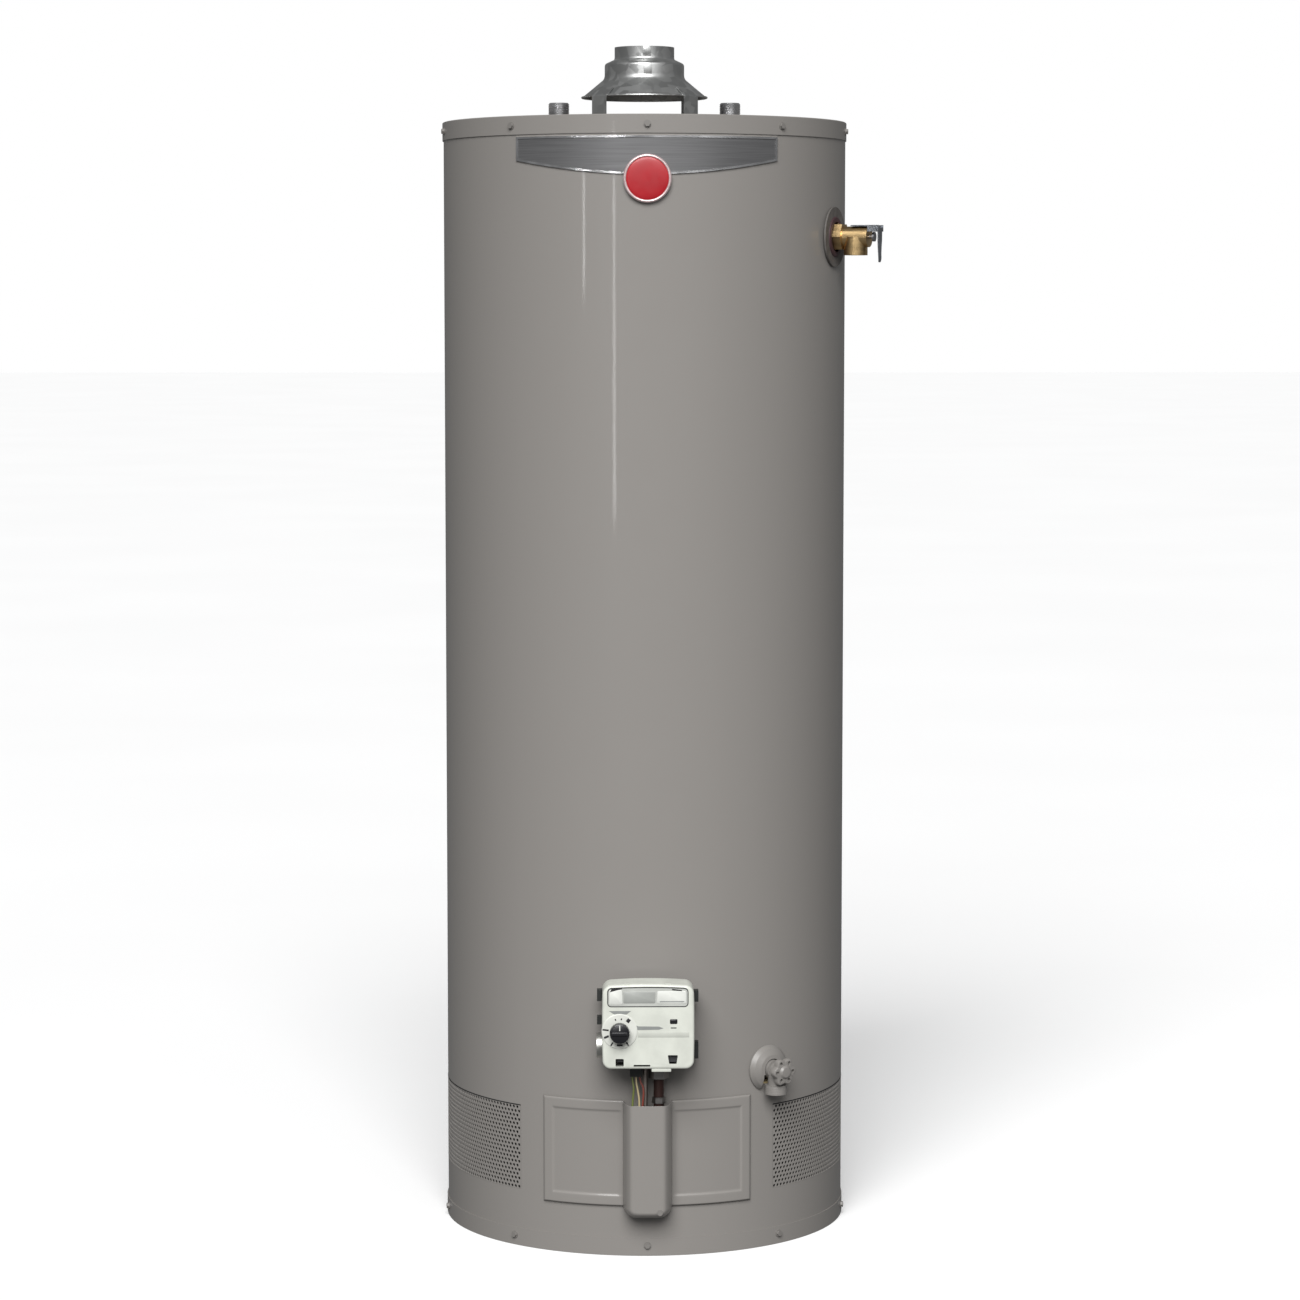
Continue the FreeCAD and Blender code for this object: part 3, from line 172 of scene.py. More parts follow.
def moulded(name, colour, roughness=0.42, grain=0.10, **sockets):
    """Injection-moulded plastic: a fine spark-eroded grain and slightly uneven sheen."""
    finish = Finish(name, roughness, **sockets)
    finish.colour(finish.noise(45, 5), shade(colour, 0.94), shade(colour, 1.05))
    finish.rough(finish.noise(120, 3), roughness - 0.06, roughness + 0.08)
    finish.bump(finish.noise(2600, 2), grain, 0.00008)
    return finish.material


def paint(name, colour, roughness, peel=0.05, **sockets):
    """Sprayed enamel on sheet steel: fine orange peel and a barely uneven tone and sheen."""
    finish = Finish(name, roughness, **sockets)
    drift = finish.noise(3.0, 4, (1, 1, 0.25))
    finish.colour(drift, shade(colour, 0.985), shade(colour, 1.015))
    finish.rough(finish.noise(30, 5), roughness - 0.02, roughness + 0.03)
    finish.bump(finish.noise(900, 2), peel, 0.00006)
    return finish.material


def metal(name, colour, roughness, stretch=(1, 1, 1), brushing=0.12, **sockets):
    """Bare metal: drawn or turned lines along its stretch, darker handling marks."""
    finish = Finish(name, roughness, metallic=1.0, **sockets)
    finish.colour(finish.noise(60, 6), shade(colour, 0.78), shade(colour, 1.08))
    finish.rough(finish.noise(160, 4, stretch), roughness - 0.07, roughness + 0.10)
    finish.bump(finish.noise(1400, 3, stretch), brushing, 0.00006)
    return finish.material


def make_galvanised():
    """Hot-dip galvanised sheet: angular spangles of several greys, dull and slightly pitted."""
    finish = Finish("galvanised_sheet", 0.42, metallic=0.9)
    spangle = finish.cells(95, output="Color")
    grey = finish.node("ShaderNodeRGBToBW")
    finish.link(spangle, grey.inputs["Color"])
    finish.colour(grey.outputs["Val"], (0.36, 0.365, 0.36), (0.47, 0.475, 0.47), 0.2, 0.8)
    finish.rough(grey.outputs["Val"], 0.34, 0.42)
    finish.bump(finish.noise(60, 3), 0.04, 0.0008)
    finish.bump(finish.noise(900, 3), 0.10, 0.00008)
    return finish.material


def make_badge_foil():
    """Dark silver foil: brushed along its length."""
    finish = Finish("badge_foil", 0.36, metallic=0.6)
    lines = finish.noise(260, 3, (0.05, 0.05, 3))
    finish.colour(lines, (0.150, 0.150, 0.153), (0.200, 0.200, 0.203), 0.3, 0.7)
    finish.bump(finish.noise(2000, 2, (0.05, 0.05, 1)), 0.04, 0.00005)
    return finish.material


def make_foam():
    finish = Finish("foam", 0.85)
    finish.colour(finish.noise(30, 5), (0.66, 0.52, 0.26), (0.80, 0.68, 0.40))
    finish.bump(finish.cells(260), 0.5, 0.0008)
    return finish.material


def make_glass():
    finish = Finish("sight_glass", 0.06, IOR=1.46)
    finish.shader.inputs["Transmission Weight"].default_value = 0.85
    finish.colour(finish.noise(40, 3), (0.74, 0.80, 0.78), (0.86, 0.90, 0.88))
    finish.bump(finish.noise(60, 2), 0.03, 0.0004)
    return finish.material


def make_gasket():
    """Compressed fibre and rubber: dark grey, matte, lightly pitted."""
    finish = Finish("gasket", 0.75)
    finish.colour(finish.noise(90, 5), (0.085, 0.078, 0.072), (0.125, 0.115, 0.108))
    finish.bump(finish.noise(700, 4), 0.35, 0.0002)
    return finish.material


def make_dark_tube():
    """Aluminised gas tube with a heat-darkened red-brown coat."""
    finish = Finish("dark_tube", 0.42, metallic=0.35)
    finish.colour(finish.noise(25, 5, (1, 1, 0.4)), (0.022, 0.010, 0.008), (0.060, 0.022, 0.017))
    finish.rough(finish.noise(70, 4), 0.34, 0.55)
    finish.bump(finish.noise(600, 3), 0.15, 0.0001)
    return finish.material


JACKET_COLOUR = (0.235, 0.222, 0.208)
COVER_COLOUR = (0.60, 0.615, 0.555)
DRAWN = (1, 1, 0.04)
TURNED = (0.2, 0.2, 4)

SLOTS = {
    "jacket_paint": paint("jacket_paint", JACKET_COLOUR, 0.36, 0.03, Specular_IOR_Level=0.3, Coat_Weight=0.2,
                          Coat_Roughness=0.06),
    "zinc_screw": paint("screw_paint", shade(JACKET_COLOUR, 0.8), 0.4, 0.05),
    "badge_foil": make_badge_foil(),
    "badge_chrome": metal("badge_chrome", (0.86, 0.86, 0.87), 0.22, (0.1, 0.1, 1), 0.04),
    "emblem_red": moulded("emblem_red", (0.36, 0.004, 0.010), 0.42, 0.02, Coat_Weight=0.12),
    "tank_steel": paint("tank_enamel", (0.05, 0.07, 0.12), 0.35, 0.10),
    "foam": make_foam(),
    "raw_steel": metal("raw_steel", (0.46, 0.46, 0.47), 0.40, DRAWN),
    "pipe_zinc": metal("pipe_zinc", (0.72, 0.72, 0.73), 0.24, TURNED, 0.05),
    "white_plastic": moulded("white_plastic", (0.80, 0.80, 0.77)),
    "anode_metal": metal("anode_metal", (0.60, 0.60, 0.60), 0.45, DRAWN),
    "gasket_rubber": make_gasket(),
    "sight_glass": make_glass(),
    "dark_tube": make_dark_tube(),
    "brass": metal("brass", (0.62, 0.44, 0.22), 0.34, TURNED, 0.14),
    "pilot_metal": metal("pilot_metal", (0.34, 0.30, 0.27), 0.42, DRAWN),
    "wire_insulation": moulded("wire_insulation", (0.30, 0.36, 0.20)),
    "dark_plastic": moulded("dark_plastic", (0.016, 0.018, 0.017), 0.46),
    "dark_cast": paint("dark_cast", (0.030, 0.030, 0.032), 0.5, 0.5),
    "adapter_metal": metal("adapter_metal", (0.66, 0.66, 0.62), 0.34, DRAWN),
    "cover_plastic": moulded("cover_plastic", COVER_COLOUR, 0.36, 0.08),
    "label_grey": moulded("label_grey", (0.46, 0.47, 0.44), 0.34, 0.03),
    "black_lens": moulded("black_lens", (0.010, 0.010, 0.012), 0.14, 0.01, Coat_Weight=0.6),
    "dial_white": moulded("dial_white", (0.62, 0.63, 0.58), 0.40, 0.05),
    "knob_black": moulded("knob_black", (0.010, 0.010, 0.012), 0.30, 0.10),
    "probe_metal": metal("probe_metal", (0.60, 0.60, 0.60), 0.30, DRAWN),
    "spring_steel": metal("spring_steel", (0.50, 0.50, 0.52), 0.30),
    "stem_metal": metal("stem_metal", (0.42, 0.42, 0.44), 0.34),
    "lever_steel": metal("lever_steel", (0.36, 0.38, 0.41), 0.38, DRAWN),
    "drain_plastic": paint("drain_paint", shade(JACKET_COLOUR, 0.92), 0.36, 0.12),
    "galvanised": make_galvanised(),
}

MARKING = moulded("dial_marking", (0.012, 0.012, 0.013), 0.5, 0.05)
SOFT_MARKING = moulded("grey_marking", (0.24, 0.25, 0.24), 0.5, 0.05)
PALE_FIELD = moulded("pale_field", (0.66, 0.67, 0.63), 0.34, 0.03)
EMBLEM_RIM = moulded("emblem_rim", (0.74, 0.58, 0.58), 0.30, 0.02, Metallic=0.6)
PURPLE_RUBBER = moulded("purple_rubber", (0.050, 0.022, 0.026), 0.6, 0.2)
# Near-black matte: the filter behind the vent holes, and also the painted shadow line along each vent panel's top
# edge.
DARK_MESH_AND_PAINTED_SHADOW = moulded("dark_mesh_and_painted_shadow", (0.010, 0.010, 0.010), 0.8, 0.3)
DULL_NICKEL = metal("dull_nickel", (0.26, 0.25, 0.24), 0.38)
GREEN_WIRE = moulded("green_wire", (0.16, 0.19, 0.05), 0.4, 0.05)
WHITE_WIRE = moulded("white_wire", (0.50, 0.42, 0.24), 0.4, 0.05)
RED_WIRE = moulded("red_wire", (0.22, 0.05, 0.035), 0.4, 0.05)
SOFT_FIELD = moulded("soft_field", (0.33, 0.34, 0.32), 0.36, 0.03)
FAINT_BAND = moulded("faint_band", shade(COVER_COLOUR, 0.82), 0.36, 0.05)


def dress_cad_nodes():
    """Every CAD node takes the detailed material of its record slot."""
    slot_of = {entry["node"]: entry["material_slot"] for entry in frame["record"]["subparts"]}
    for name, item in nodes.items():
        item.data.materials.clear()
        item.data.materials.append(DULL_NICKEL if name == "manifold_fittings" else SLOTS[slot_of[name]])


# ---------------------------------------------------------------- mesh helpers

def finish_piece(name, mesh, body, slot, material=None, replaces=(), smooth=SMOOTH_ANGLE):
    """Link a mesh as a piece of the object, in the row frame."""
    item = bpy.data.objects.new(name, mesh)
    bpy.context.scene.collection.objects.link(item)
    mesh.materials.clear()
    mesh.materials.append(material or SLOTS[slot])
    if smooth:
        mesh.shade_smooth()
        mesh.set_sharp_from_angle(angle=smooth)
    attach(item, body)
    if replaces:
        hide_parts(*replaces)
    return item


def mesh_from(name, vertices, faces):
    mesh = bpy.data.meshes.new(name)
    mesh.from_pydata([tuple(vertex) for vertex in vertices], [], faces)
    mesh.validate()
    work = bmesh.new()
    work.from_mesh(mesh)
    bmesh.ops.recalc_face_normals(work, faces=work.faces)
    work.to_mesh(mesh)
    work.free()
    return mesh


def lathe(name, profile, stand=None, segments=96, closed=False):
    """Turn an outline of (radius, height) points about a stand's +Z; closed joins its two ends."""
    stand = stand or Matrix()
    vertices = []
    rings = []
    for radius, height in profile:
        if radius < 1e-7:
            rings.append([len(vertices)] * segments)
            vertices.append(stand @ Vector((0, 0, height)))
            continue
        ring = []
        for step in range(segments):
            angle = 2 * math.pi * step / segments
            ring.append(len(vertices))
            vertices.append(stand @ Vector((radius * math.cos(angle), radius * math.sin(angle), height)))
        rings.append(ring)
    if closed:
        rings.append(rings[0])
    faces = []
    for lower, upper in zip(rings, rings[1:]):
        for step in range(segments):
            after = (step + 1) % segments
            corners = [lower[step], lower[after], upper[after], upper[step]]
            unique = list(dict.fromkeys(corners))
            if len(unique) > 2:
                faces.append(unique)
    return mesh_from(name, vertices, faces)


def rounded(points, radius, steps=4):
    """An open (radius, height) outline with its inner corners rounded."""
    result = [points[0]]
    for before, corner, after in zip(points, points[1:], points[2:]):
        corner, before, after = Vector(corner), Vector(before), Vector(after)
        reach = min(radius, (before - corner).length * 0.45, (after - corner).length * 0.45)
        start = corner + (before - corner).normalized() * reach
        end = corner + (after - corner).normalized() * reach
        for step in range(steps + 1):
            along = step / steps
            result.append(tuple(start.lerp(corner, along).lerp(corner.lerp(end, along), along)))
    result.append(points[-1])
    return result


def loft(name, loops, stand=None, cap_ends=True):
    """Skin a stack of equal-length closed loops of points."""
    stand = stand or Matrix()
    count = len(loops[0])
    vertices = [stand @ Vector(point) for loop in loops for point in loop]
    faces = []
    for level in range(len(loops) - 1):
        base = level * count
        for step in range(count):
            after = (step + 1) % count
            faces.append([base + step, base + after, base + count + after, base + count + step])
    if cap_ends:
        faces.append(list(range(count))[::-1])
        faces.append(list(range((len(loops) - 1) * count, len(loops) * count)))
    return mesh_from(name, vertices, faces)


def rounded_outline(half_x, low, high, corner, steps=8, arch=0.0, bulge=0.0):
    """A closed rounded rectangle of (x, y); arch bows its top edge up and bulge its sides out."""
    centres = [
        (half_x - corner, high - corner, 0),
        (-half_x + corner, high - corner, 90),
        (-half_x + corner, low + corner, 180),
        (half_x - corner, low + corner, 270),
    ]
    points = []
    for index, (x, y, start) in enumerate(centres):
        for step in range(steps + 1):
            angle = math.radians(start + 90 * step / steps)
            points.append((x + corner * math.cos(angle), y + corner * math.sin(angle)))
        following = centres[(index + 1) % 4]
        first = points[-1]
        angle = math.radians(following[2])
        last = (following[0] + corner * math.cos(angle), following[1] + corner * math.sin(angle))
        for step in range(1, 12):
            along = step / 12
            points.append((first[0] + (last[0] - first[0]) * along, first[1] + (last[1] - first[1]) * along))
    bowed = []
    middle = (low + high) / 2
    for x, y in points:
        top_share = max(0.0, (y - middle) / (high - middle))
        across = 1 - (x / half_x) ** 2
        up = 1 - ((y - middle) / (high - middle)) ** 2
        bowed.append((x + math.copysign(bulge * up * abs(x / half_x), x), y + arch * across * top_share ** 3))
    return bowed


def inset(outline, amount):
    """Move a closed outline inwards along its normals."""
    result = []
    count = len(outline)
    for index, point in enumerate(outline):
        before = Vector(outline[index - 1])
        after = Vector(outline[(index + 1) % count])
        along = (after - before).normalized()
        inward = Vector((-along.y, along.x))
        result.append(tuple(Vector(point) + inward * amount))
    return result


def moulding(name, outline, steps, stand):
    """A moulded cap: an outline carried through (inset, height) steps along the stand's +Z."""
    loops = [[(x, y, height) for x, y in inset(outline, amount)] for amount, height in steps]
    return loft(name, loops, stand)


def carve(mesh, cutters):
    """Take cutter meshes out of a mesh."""
    scene = bpy.context.scene
    item = bpy.data.objects.new("carving", mesh)
    scene.collection.objects.link(item)
    made = []
    for cutter in cutters:
        tool = bpy.data.objects.new("cutter", cutter)
        scene.collection.objects.link(tool)
        made.append(tool)
        modifier = item.modifiers.new("cut", "BOOLEAN")
        modifier.operation = "DIFFERENCE"
        modifier.solver = "EXACT"
        modifier.object = tool
    graph = bpy.context.evaluated_depsgraph_get()
    result = bpy.data.meshes.new_from_object(item.evaluated_get(graph))
    for tool in made + [item]:
        bpy.data.objects.remove(tool)
    result.name = mesh.name + "_carved"
    return result


def merged(name, meshes):
    """One mesh from several."""
    work = bmesh.new()
    for mesh in meshes:
        work.from_mesh(mesh)
    result = bpy.data.meshes.new(name)
    work.to_mesh(result)
    work.free()
    return result


def bevel_box(name, low, high, bevel, segments=2, stand=None):
    """A block with rounded edges between two corners."""
    work = bmesh.new()
    bmesh.ops.create_cube(work, size=1)
    low, high = Vector(low), Vector(high)
    size = high - low
    for vertex in work.verts:
        vertex.co = low + Vector((
            (vertex.co.x + 0.5) * size.x,
            (vertex.co.y + 0.5) * size.y,
            (vertex.co.z + 0.5) * size.z,
        ))
    bmesh.ops.bevel(work, geom=work.edges[:], offset=bevel, segments=segments, profile=0.5,
                    affect="EDGES")
    if stand is not None:
        bmesh.ops.transform(work, matrix=stand, verts=work.verts[:])
    mesh = bpy.data.meshes.new(name)
    work.to_mesh(mesh)
    work.free()
    return mesh


# ---------------------------------------------------------------- casing details

def vent_screen(name, node):
    """The jacket's perforated air inlet: staggered round holes through the sheet."""
    low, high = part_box(node)
    outer = JACKET_R
    inner = JACKET_R - 1 * MM
    side = 1 if low.x + high.x > 0 else -1
    start = math.asin(min(abs(low.x), abs(high.x)) / inner)
    end = math.acos(min(abs(low.y), abs(high.y)) / inner)
    columns = 40
    rows = 20
    row_height = (high.z - low.z) / rows
    pitch = (end - start) / columns
    hole = 1.9 * MM
    sides = 12
    vertices = []
    faces = []
    index_of = {}

    def point(angle, height, radius):
        key = (round(angle, 7), round(height, 7), radius)
        if key not in index_of:
            index_of[key] = len(vertices)
            vertices.append((side * radius * math.sin(angle), -radius * math.cos(angle), height))
        return index_of[key]

    for row in range(rows):
        bottom = low.z + row * row_height
        centre_z = bottom + row_height / 2
        edges = [start + pitch * 0.5 * step for step in range(2 * columns + 1)]
        first = row % 2
        if first:
            for radius in (outer, inner):
                faces.append([point(edges[0], bottom, radius), point(edges[1], bottom, radius),
                              point(edges[1], bottom + row_height, radius),
                              point(edges[0], bottom + row_height, radius)])
                faces.append([point(edges[-2], bottom, radius), point(edges[-1], bottom, radius),
                              point(edges[-1], bottom + row_height, radius),
                              point(edges[-2], bottom + row_height, radius)])
        for column in range(columns - first):
            left = start + pitch * (column + 0.5 * first)
            centre = left + pitch / 2
            rim = []
            for step in range(sides):
                turn = 2 * math.pi * step / sides
                rim.append((centre + hole * math.cos(turn) / outer, centre_z + hole * math.sin(turn)))
            frame_points = [
                (left + pitch, centre_z), (left + pitch, bottom + row_height),
                (centre, bottom + row_height), (left, bottom + row_height),
                (left, centre_z), (left, bottom), (centre, bottom), (left + pitch, bottom),
            ]
            for radius in (outer, inner):
                ring = [point(angle, height, radius) for angle, height in rim]
                border = [point(angle, height, radius) for angle, height in frame_points]
                nearest = [0, 1, 1, 2, 3, 3, 4, 5, 5, 6, 7, 7]
                for step in range(sides):
                    after = (step + 1) % sides
                    a, b = nearest[step], nearest[after]
                    face = [ring[step], border[a]]
                    if a != b:
                        if (b - a) % 8 == 2:
                            face.append(border[(a + 1) % 8])
                        face.append(border[b])
                    face.append(ring[after])
                    faces.append(face)
            for step in range(sides):
                after = (step + 1) % sides
                faces.append([point(*rim[step], outer), point(*rim[after], outer),
                              point(*rim[after], inner), point(*rim[step], inner)])
    finish_piece(name, mesh_from(name, vertices, faces), "root", "jacket_paint", replaces=(node,))
    filter_mesh = arc_strip(name + "_filter", inner - 3 * MM, 1 * MM, start, end, low.z, high.z, side)
    finish_piece(name + "_filter", filter_mesh, "root", "raw_steel", DARK_MESH_AND_PAINTED_SHADOW)
    # Painted shadow: a thin near-black strip along the panel's top edge stands in for the shade under the recessed
    # step there.
    groove = arc_strip(name + "_painted_shadow_line", outer - 0.6 * MM, 0.75 * MM, start, end, high.z - 0.3 * MM,
                       high.z + 1.1 * MM, side)
    finish_piece(name + "_painted_shadow_line", groove, "root", "jacket_paint", DARK_MESH_AND_PAINTED_SHADOW)


def arc_strip(name, radius, thickness, start, end, low, high, side):
    """A thin curved strip round the heater's axis."""
    loops = []
    steps = 48
    for step in range(steps + 1):
        angle = start + (end - start) * step / steps
        out = Vector((side * math.sin(angle), -math.cos(angle), 0))
        loops.append([out * radius + Vector((0, 0, low)), out * (radius + thickness) + Vector((0, 0, low)),
                      out * (radius + thickness) + Vector((0, 0, high)), out * radius + Vector((0, 0, high))])
    return loft(name, loops)


def make_vents():
    vent_screen("right_vent_screen", "right_vent_panel")
    vent_screen("left_vent_screen", "left_vent_panel")


def make_jacket_details():
    """The folded seam up the back of the jacket, and rolled beads on the lid and pan skirts."""
    seam = bevel_box("seam", (-7 * MM, JACKET_R - 1.5 * MM, jacket_low.z + 26 * MM),
                     (7 * MM, JACKET_R + 1.1 * MM, lid_low.z - 1 * MM), 0.6 * MM)
    finish_piece("jacket_seam", seam, "root", "jacket_paint")
    wire = 0.9 * MM
    for name, height in (("lid_bead", lid_low.z), ("pan_bead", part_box("base_pan")[1].z)):
        radius = LID_R - 1.0 * MM
        sign = 1 if name == "lid_bead" else -1
        profile = []
        for step in range(10):
            angle = 2 * math.pi * step / 10
            profile.append((radius + wire * math.cos(angle), height + sign * wire + wire * math.sin(angle)))
        finish_piece(name, lathe(name, profile, segments=180, closed=True), "root", "jacket_paint")


def make_emblem():
    """A red dome in a pale metal ring, both generic and blank."""
    low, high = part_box("badge_emblem")
    radius = (high.x - low.x) / 2
    height = (low.z + high.z) / 2
    front = low.y
    stand = front_stand(0, front + 5 * MM, height)
    dome = [(radius - 3.6 * MM, 0.0)]
    for step in range(13):
        angle = math.radians(90 * step / 12)
        dome.append(((radius - 3.4 * MM) * math.cos(angle), 2.6 * MM + 2.3 * MM * math.sin(angle)))
    finish_piece("emblem_dome", lathe("emblem_dome", [(0, 0)] + dome, stand), "root", "emblem_red",
                 replaces=("badge_emblem",))
    ring = rounded([
        (radius - 3.6 * MM, -2.2 * MM),
        (radius - 3.6 * MM, 3.4 * MM),
        (radius - 1.9 * MM, 4.3 * MM),
        (radius, 3.0 * MM),
        (radius, -2.2 * MM),
    ], 1.0 * MM)
    finish_piece("emblem_ring", lathe("emblem_ring", ring, stand, closed=True), "root", "emblem_red",
                 EMBLEM_RIM)


# ---------------------------------------------------------------- draft hood and pipes

def make_hood():
    """Spun hood with rounded steps, a hemmed rim and a lap seam on its collars."""
    low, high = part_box("draft_hood")
    skin = 0.8 * MM
    rim = (high.x - low.x) / 2
    collar = mounts["vent_collar_3in"]["dims"]["r_mm"] * MM
    tier = mounts["vent_collar_4in"]["dims"]["r_mm"] * MM
    top = high.z
    collar_foot = top - 16 * MM
    shoulder = collar_foot - 5.5 * MM
    waist = shoulder - 19.5 * MM
    outside = [
        (rim - 1.2 * MM, low.z + 1.2 * MM),
        (rim - 14 * MM, low.z + 11.6 * MM),
        (tier + 1.4 * MM, waist),
        (tier, waist + 4 * MM),
        (tier, shoulder),
        (collar + 0.8 * MM, collar_foot),
        (collar, collar_foot + 2 * MM),
        (collar, top - 0.3 * MM),
    ]
    outside = rounded(outside, 3 * MM)
    inside = [(radius - skin, height - skin * 0.4) for radius, height in outside][::-1]
    inside[0] = (inside[0][0], top - 0.3 * MM)
    shell = lathe("hood_shell", outside + inside, segments=128, closed=True)
    finish_piece("hood_shell", shell, "root", "galvanised", replaces=("draft_hood",),
                 smooth=math.radians(40))
    hem = []
    for step in range(10):
        angle = 2 * math.pi * step / 10
        hem.append((rim - 1.3 * MM + 1.2 * MM * math.cos(angle),
                    low.z + 1.25 * MM + 1.2 * MM * math.sin(angle)))
    finish_piece("hood_hem", lathe("hood_hem", hem, segments=128, closed=True), "root", "galvanised")
    strips = []
    for radius, foot, height in ((collar, collar_foot + 3 * MM, 12.6 * MM), (tier, waist + 5 * MM, 13 * MM)):
        stand = radial_stand(4, radius - 0.35 * MM, foot)
        strips.append(bevel_box("seam_strip", (-5 * MM, 0, -0.2 * MM), (5 * MM, height, 0.75 * MM),
                                0.25 * MM, stand=stand))
    finish_piece("hood_seam", merged("hood_seam", strips), "root", "galvanised")


def threaded_nipple(name, node, mount):
    """A plated pipe nipple whose exposed end carries its taper thread."""
    low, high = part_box(node)
    x = (low.x + high.x) / 2
    radius = mounts[mount]["dims"]["r_mm"] * MM
    bore = 10.5 * MM
    facets = 96
    pitch = 1.81 * MM
    depth = 0.75 * MM
    top = high.z
    foot = LID_TOP + 3 * MM
    turns = int((top - 2 * MM - foot) / pitch)
    stand = Matrix.Translation((x, 0, 0))
    body = [(bore, top), (radius - 1.6 * MM, top), (radius - depth, top - 1.2 * MM)]
    for turn in range(turns):
        at = top - 1.4 * MM - turn * pitch
        body.append((radius - depth, at))
        body.append((radius, at - pitch * 0.42))
        body.append((radius, at - pitch * 0.58))
    body += [(radius - depth, foot - 0.5 * MM), (radius - 0.2 * MM, foot - 1.5 * MM),
             (radius - 0.2 * MM, low.z), (bore, low.z)]
    mesh = lathe(name, body, stand, facets, closed=True)
    return finish_piece(name, mesh, "root", "pipe_zinc", replaces=(node,))


def make_pipes():
    threaded_nipple("cold_nipple_thread", "cold_inlet_nipple", "cold_inlet")
    threaded_nipple("hot_nipple_thread", "hot_outlet_nipple", "hot_outlet")


# ---------------------------------------------------------------- access door

def soft_step(amount):
    amount = max(0.0, min(1.0, amount))
    return amount * amount * (3 - 2 * amount)


def quarter_round(amount):
    amount = max(0.0, min(1.0, amount))
    return math.sqrt(max(0.0, 1 - (1 - amount) ** 2))


def make_door():
    """Pressed door: embossed border, returned edges and a deep round-cornered channel."""
    low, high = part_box("outer_door")
    panel_low = low.z + 12 * MM
    top = high.z
    half_angle = math.asin(high.x / (JACKET_R + 4.5 * MM))
    screw_low, screw_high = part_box("door_screw")
    channel = (screw_low.x + screw_high.x) / 2 + 15.5 * MM
    channel_low = low.z
    front = -low.y
    rim_r = JACKET_R + 4.4 * MM
    edge_r = JACKET_R + 0.7 * MM
    field_drop = 1.3 * MM
    wall = 12 * MM
    corner = 16 * MM

    def channel_depth(x, z):
        """Distance inside the channel's outline, negative outside."""
        across = channel - abs(x)
        up = z - channel_low
        if across < corner and up < corner:
            return corner - math.hypot(corner - across, corner - up)
        return min(across, up)

    def surface(x, z):
        angle = math.asin(max(-1, min(1, x / rim_r)))
        side = (half_angle - abs(angle)) * rim_r
        edge = min(side, z - panel_low, top - z)
        radius = edge_r + (rim_r - edge_r) * quarter_round(edge / (2.2 * MM))
        radius -= field_drop * soft_step((edge - 12 * MM) / (3.5 * MM))
        near_channel = abs(x) - channel
        channel_drop = field_drop * soft_step(1 - near_channel / (7 * MM))
        radius += channel_drop * soft_step((edge - 12 * MM) / (3.5 * MM))
        panel_y = -math.sqrt(max(0.0, radius * radius - x * x))
        inside = channel_depth(x, z)
        if inside <= 0:
            return panel_y
        crown = 2.4 * MM * (1 - (x / channel) ** 2)
        deep = -(front - 2.4 * MM) - crown
        start = -edge_r if z < panel_low else panel_y
        return start + (deep - start) * quarter_round(inside / wall)

    reach = rim_r * math.sin(half_angle)
    fine = [channel - wall * (1 - math.cos(math.radians(90 * step / 10))) for step in range(11)]
    xs = set()
    for step in range(61):
        xs.add(round(-reach + 2 * reach * step / 60, 6))
    for value in fine:
        xs.add(round(value, 6))
        xs.add(round(-value, 6))
    for offset in (0.05, 0.4, 1.0, 2.0, 3.2, 5.0, 7.0):
        for sign in (-1, 1):
            xs.add(round(sign * (channel + offset * MM), 6))
    for offset in (0.15, 0.5, 1.0, 1.6, 2.3, 4, 8, 11.5, 12.5, 13.5, 14.5, 15.6, 17):
        for sign in (-1, 1):
            xs.add(round(sign * (reach - offset * MM * math.cos(half_angle)), 6))
    columns = sorted(xs)
    zs = set()
    for step in range(33):
        zs.add(round(panel_low + (top - panel_low) * step / 32, 6))
    for offset in (0.15, 0.5, 1.0, 1.6, 2.3, 4, 8, 11.5, 12.5, 13.5, 14.5, 15.6, 17):
        zs.add(round(panel_low + offset * MM, 6))
        zs.add(round(top - offset * MM, 6))
    for step in range(13):
        zs.add(round(channel_low + corner * (1 - math.cos(math.radians(90 * step / 12))), 6))
    rows = sorted(value for value in zs if value <= top + 1e-9)
    vertices = []
    index_of = {}
    faces = []

    def point(i, j):
        if (i, j) not in index_of:
            index_of[(i, j)] = len(vertices)
            x, z = columns[i], rows[j]
            vertices.append((x, surface(x, z), z))
        return index_of[(i, j)]

    def belongs(x, z):
        return z >= panel_low - 1e-7 or channel_depth(x, z) > -1e-7

    for j in range(len(rows) - 1):
        for i in range(len(columns) - 1):
            corners = [(i, j), (i + 1, j), (i + 1, j + 1), (i, j + 1)]
            if all(belongs(columns[a], rows[b]) for a, b in corners):
                faces.append([point(a, b) for a, b in corners])
    mesh = bpy.data.meshes.new("door_skin")
    mesh.from_pydata(vertices, [], faces)
    mesh.validate()
    item = finish_piece("door_skin", mesh, "outer_door", "jacket_paint", replaces=("outer_door",),
                        smooth=math.radians(50))
    thicken = item.modifiers.new("sheet", "SOLIDIFY")
    thicken.thickness = 0.9 * MM
    thicken.offset = -1
    return item


# ---------------------------------------------------------------- gas control

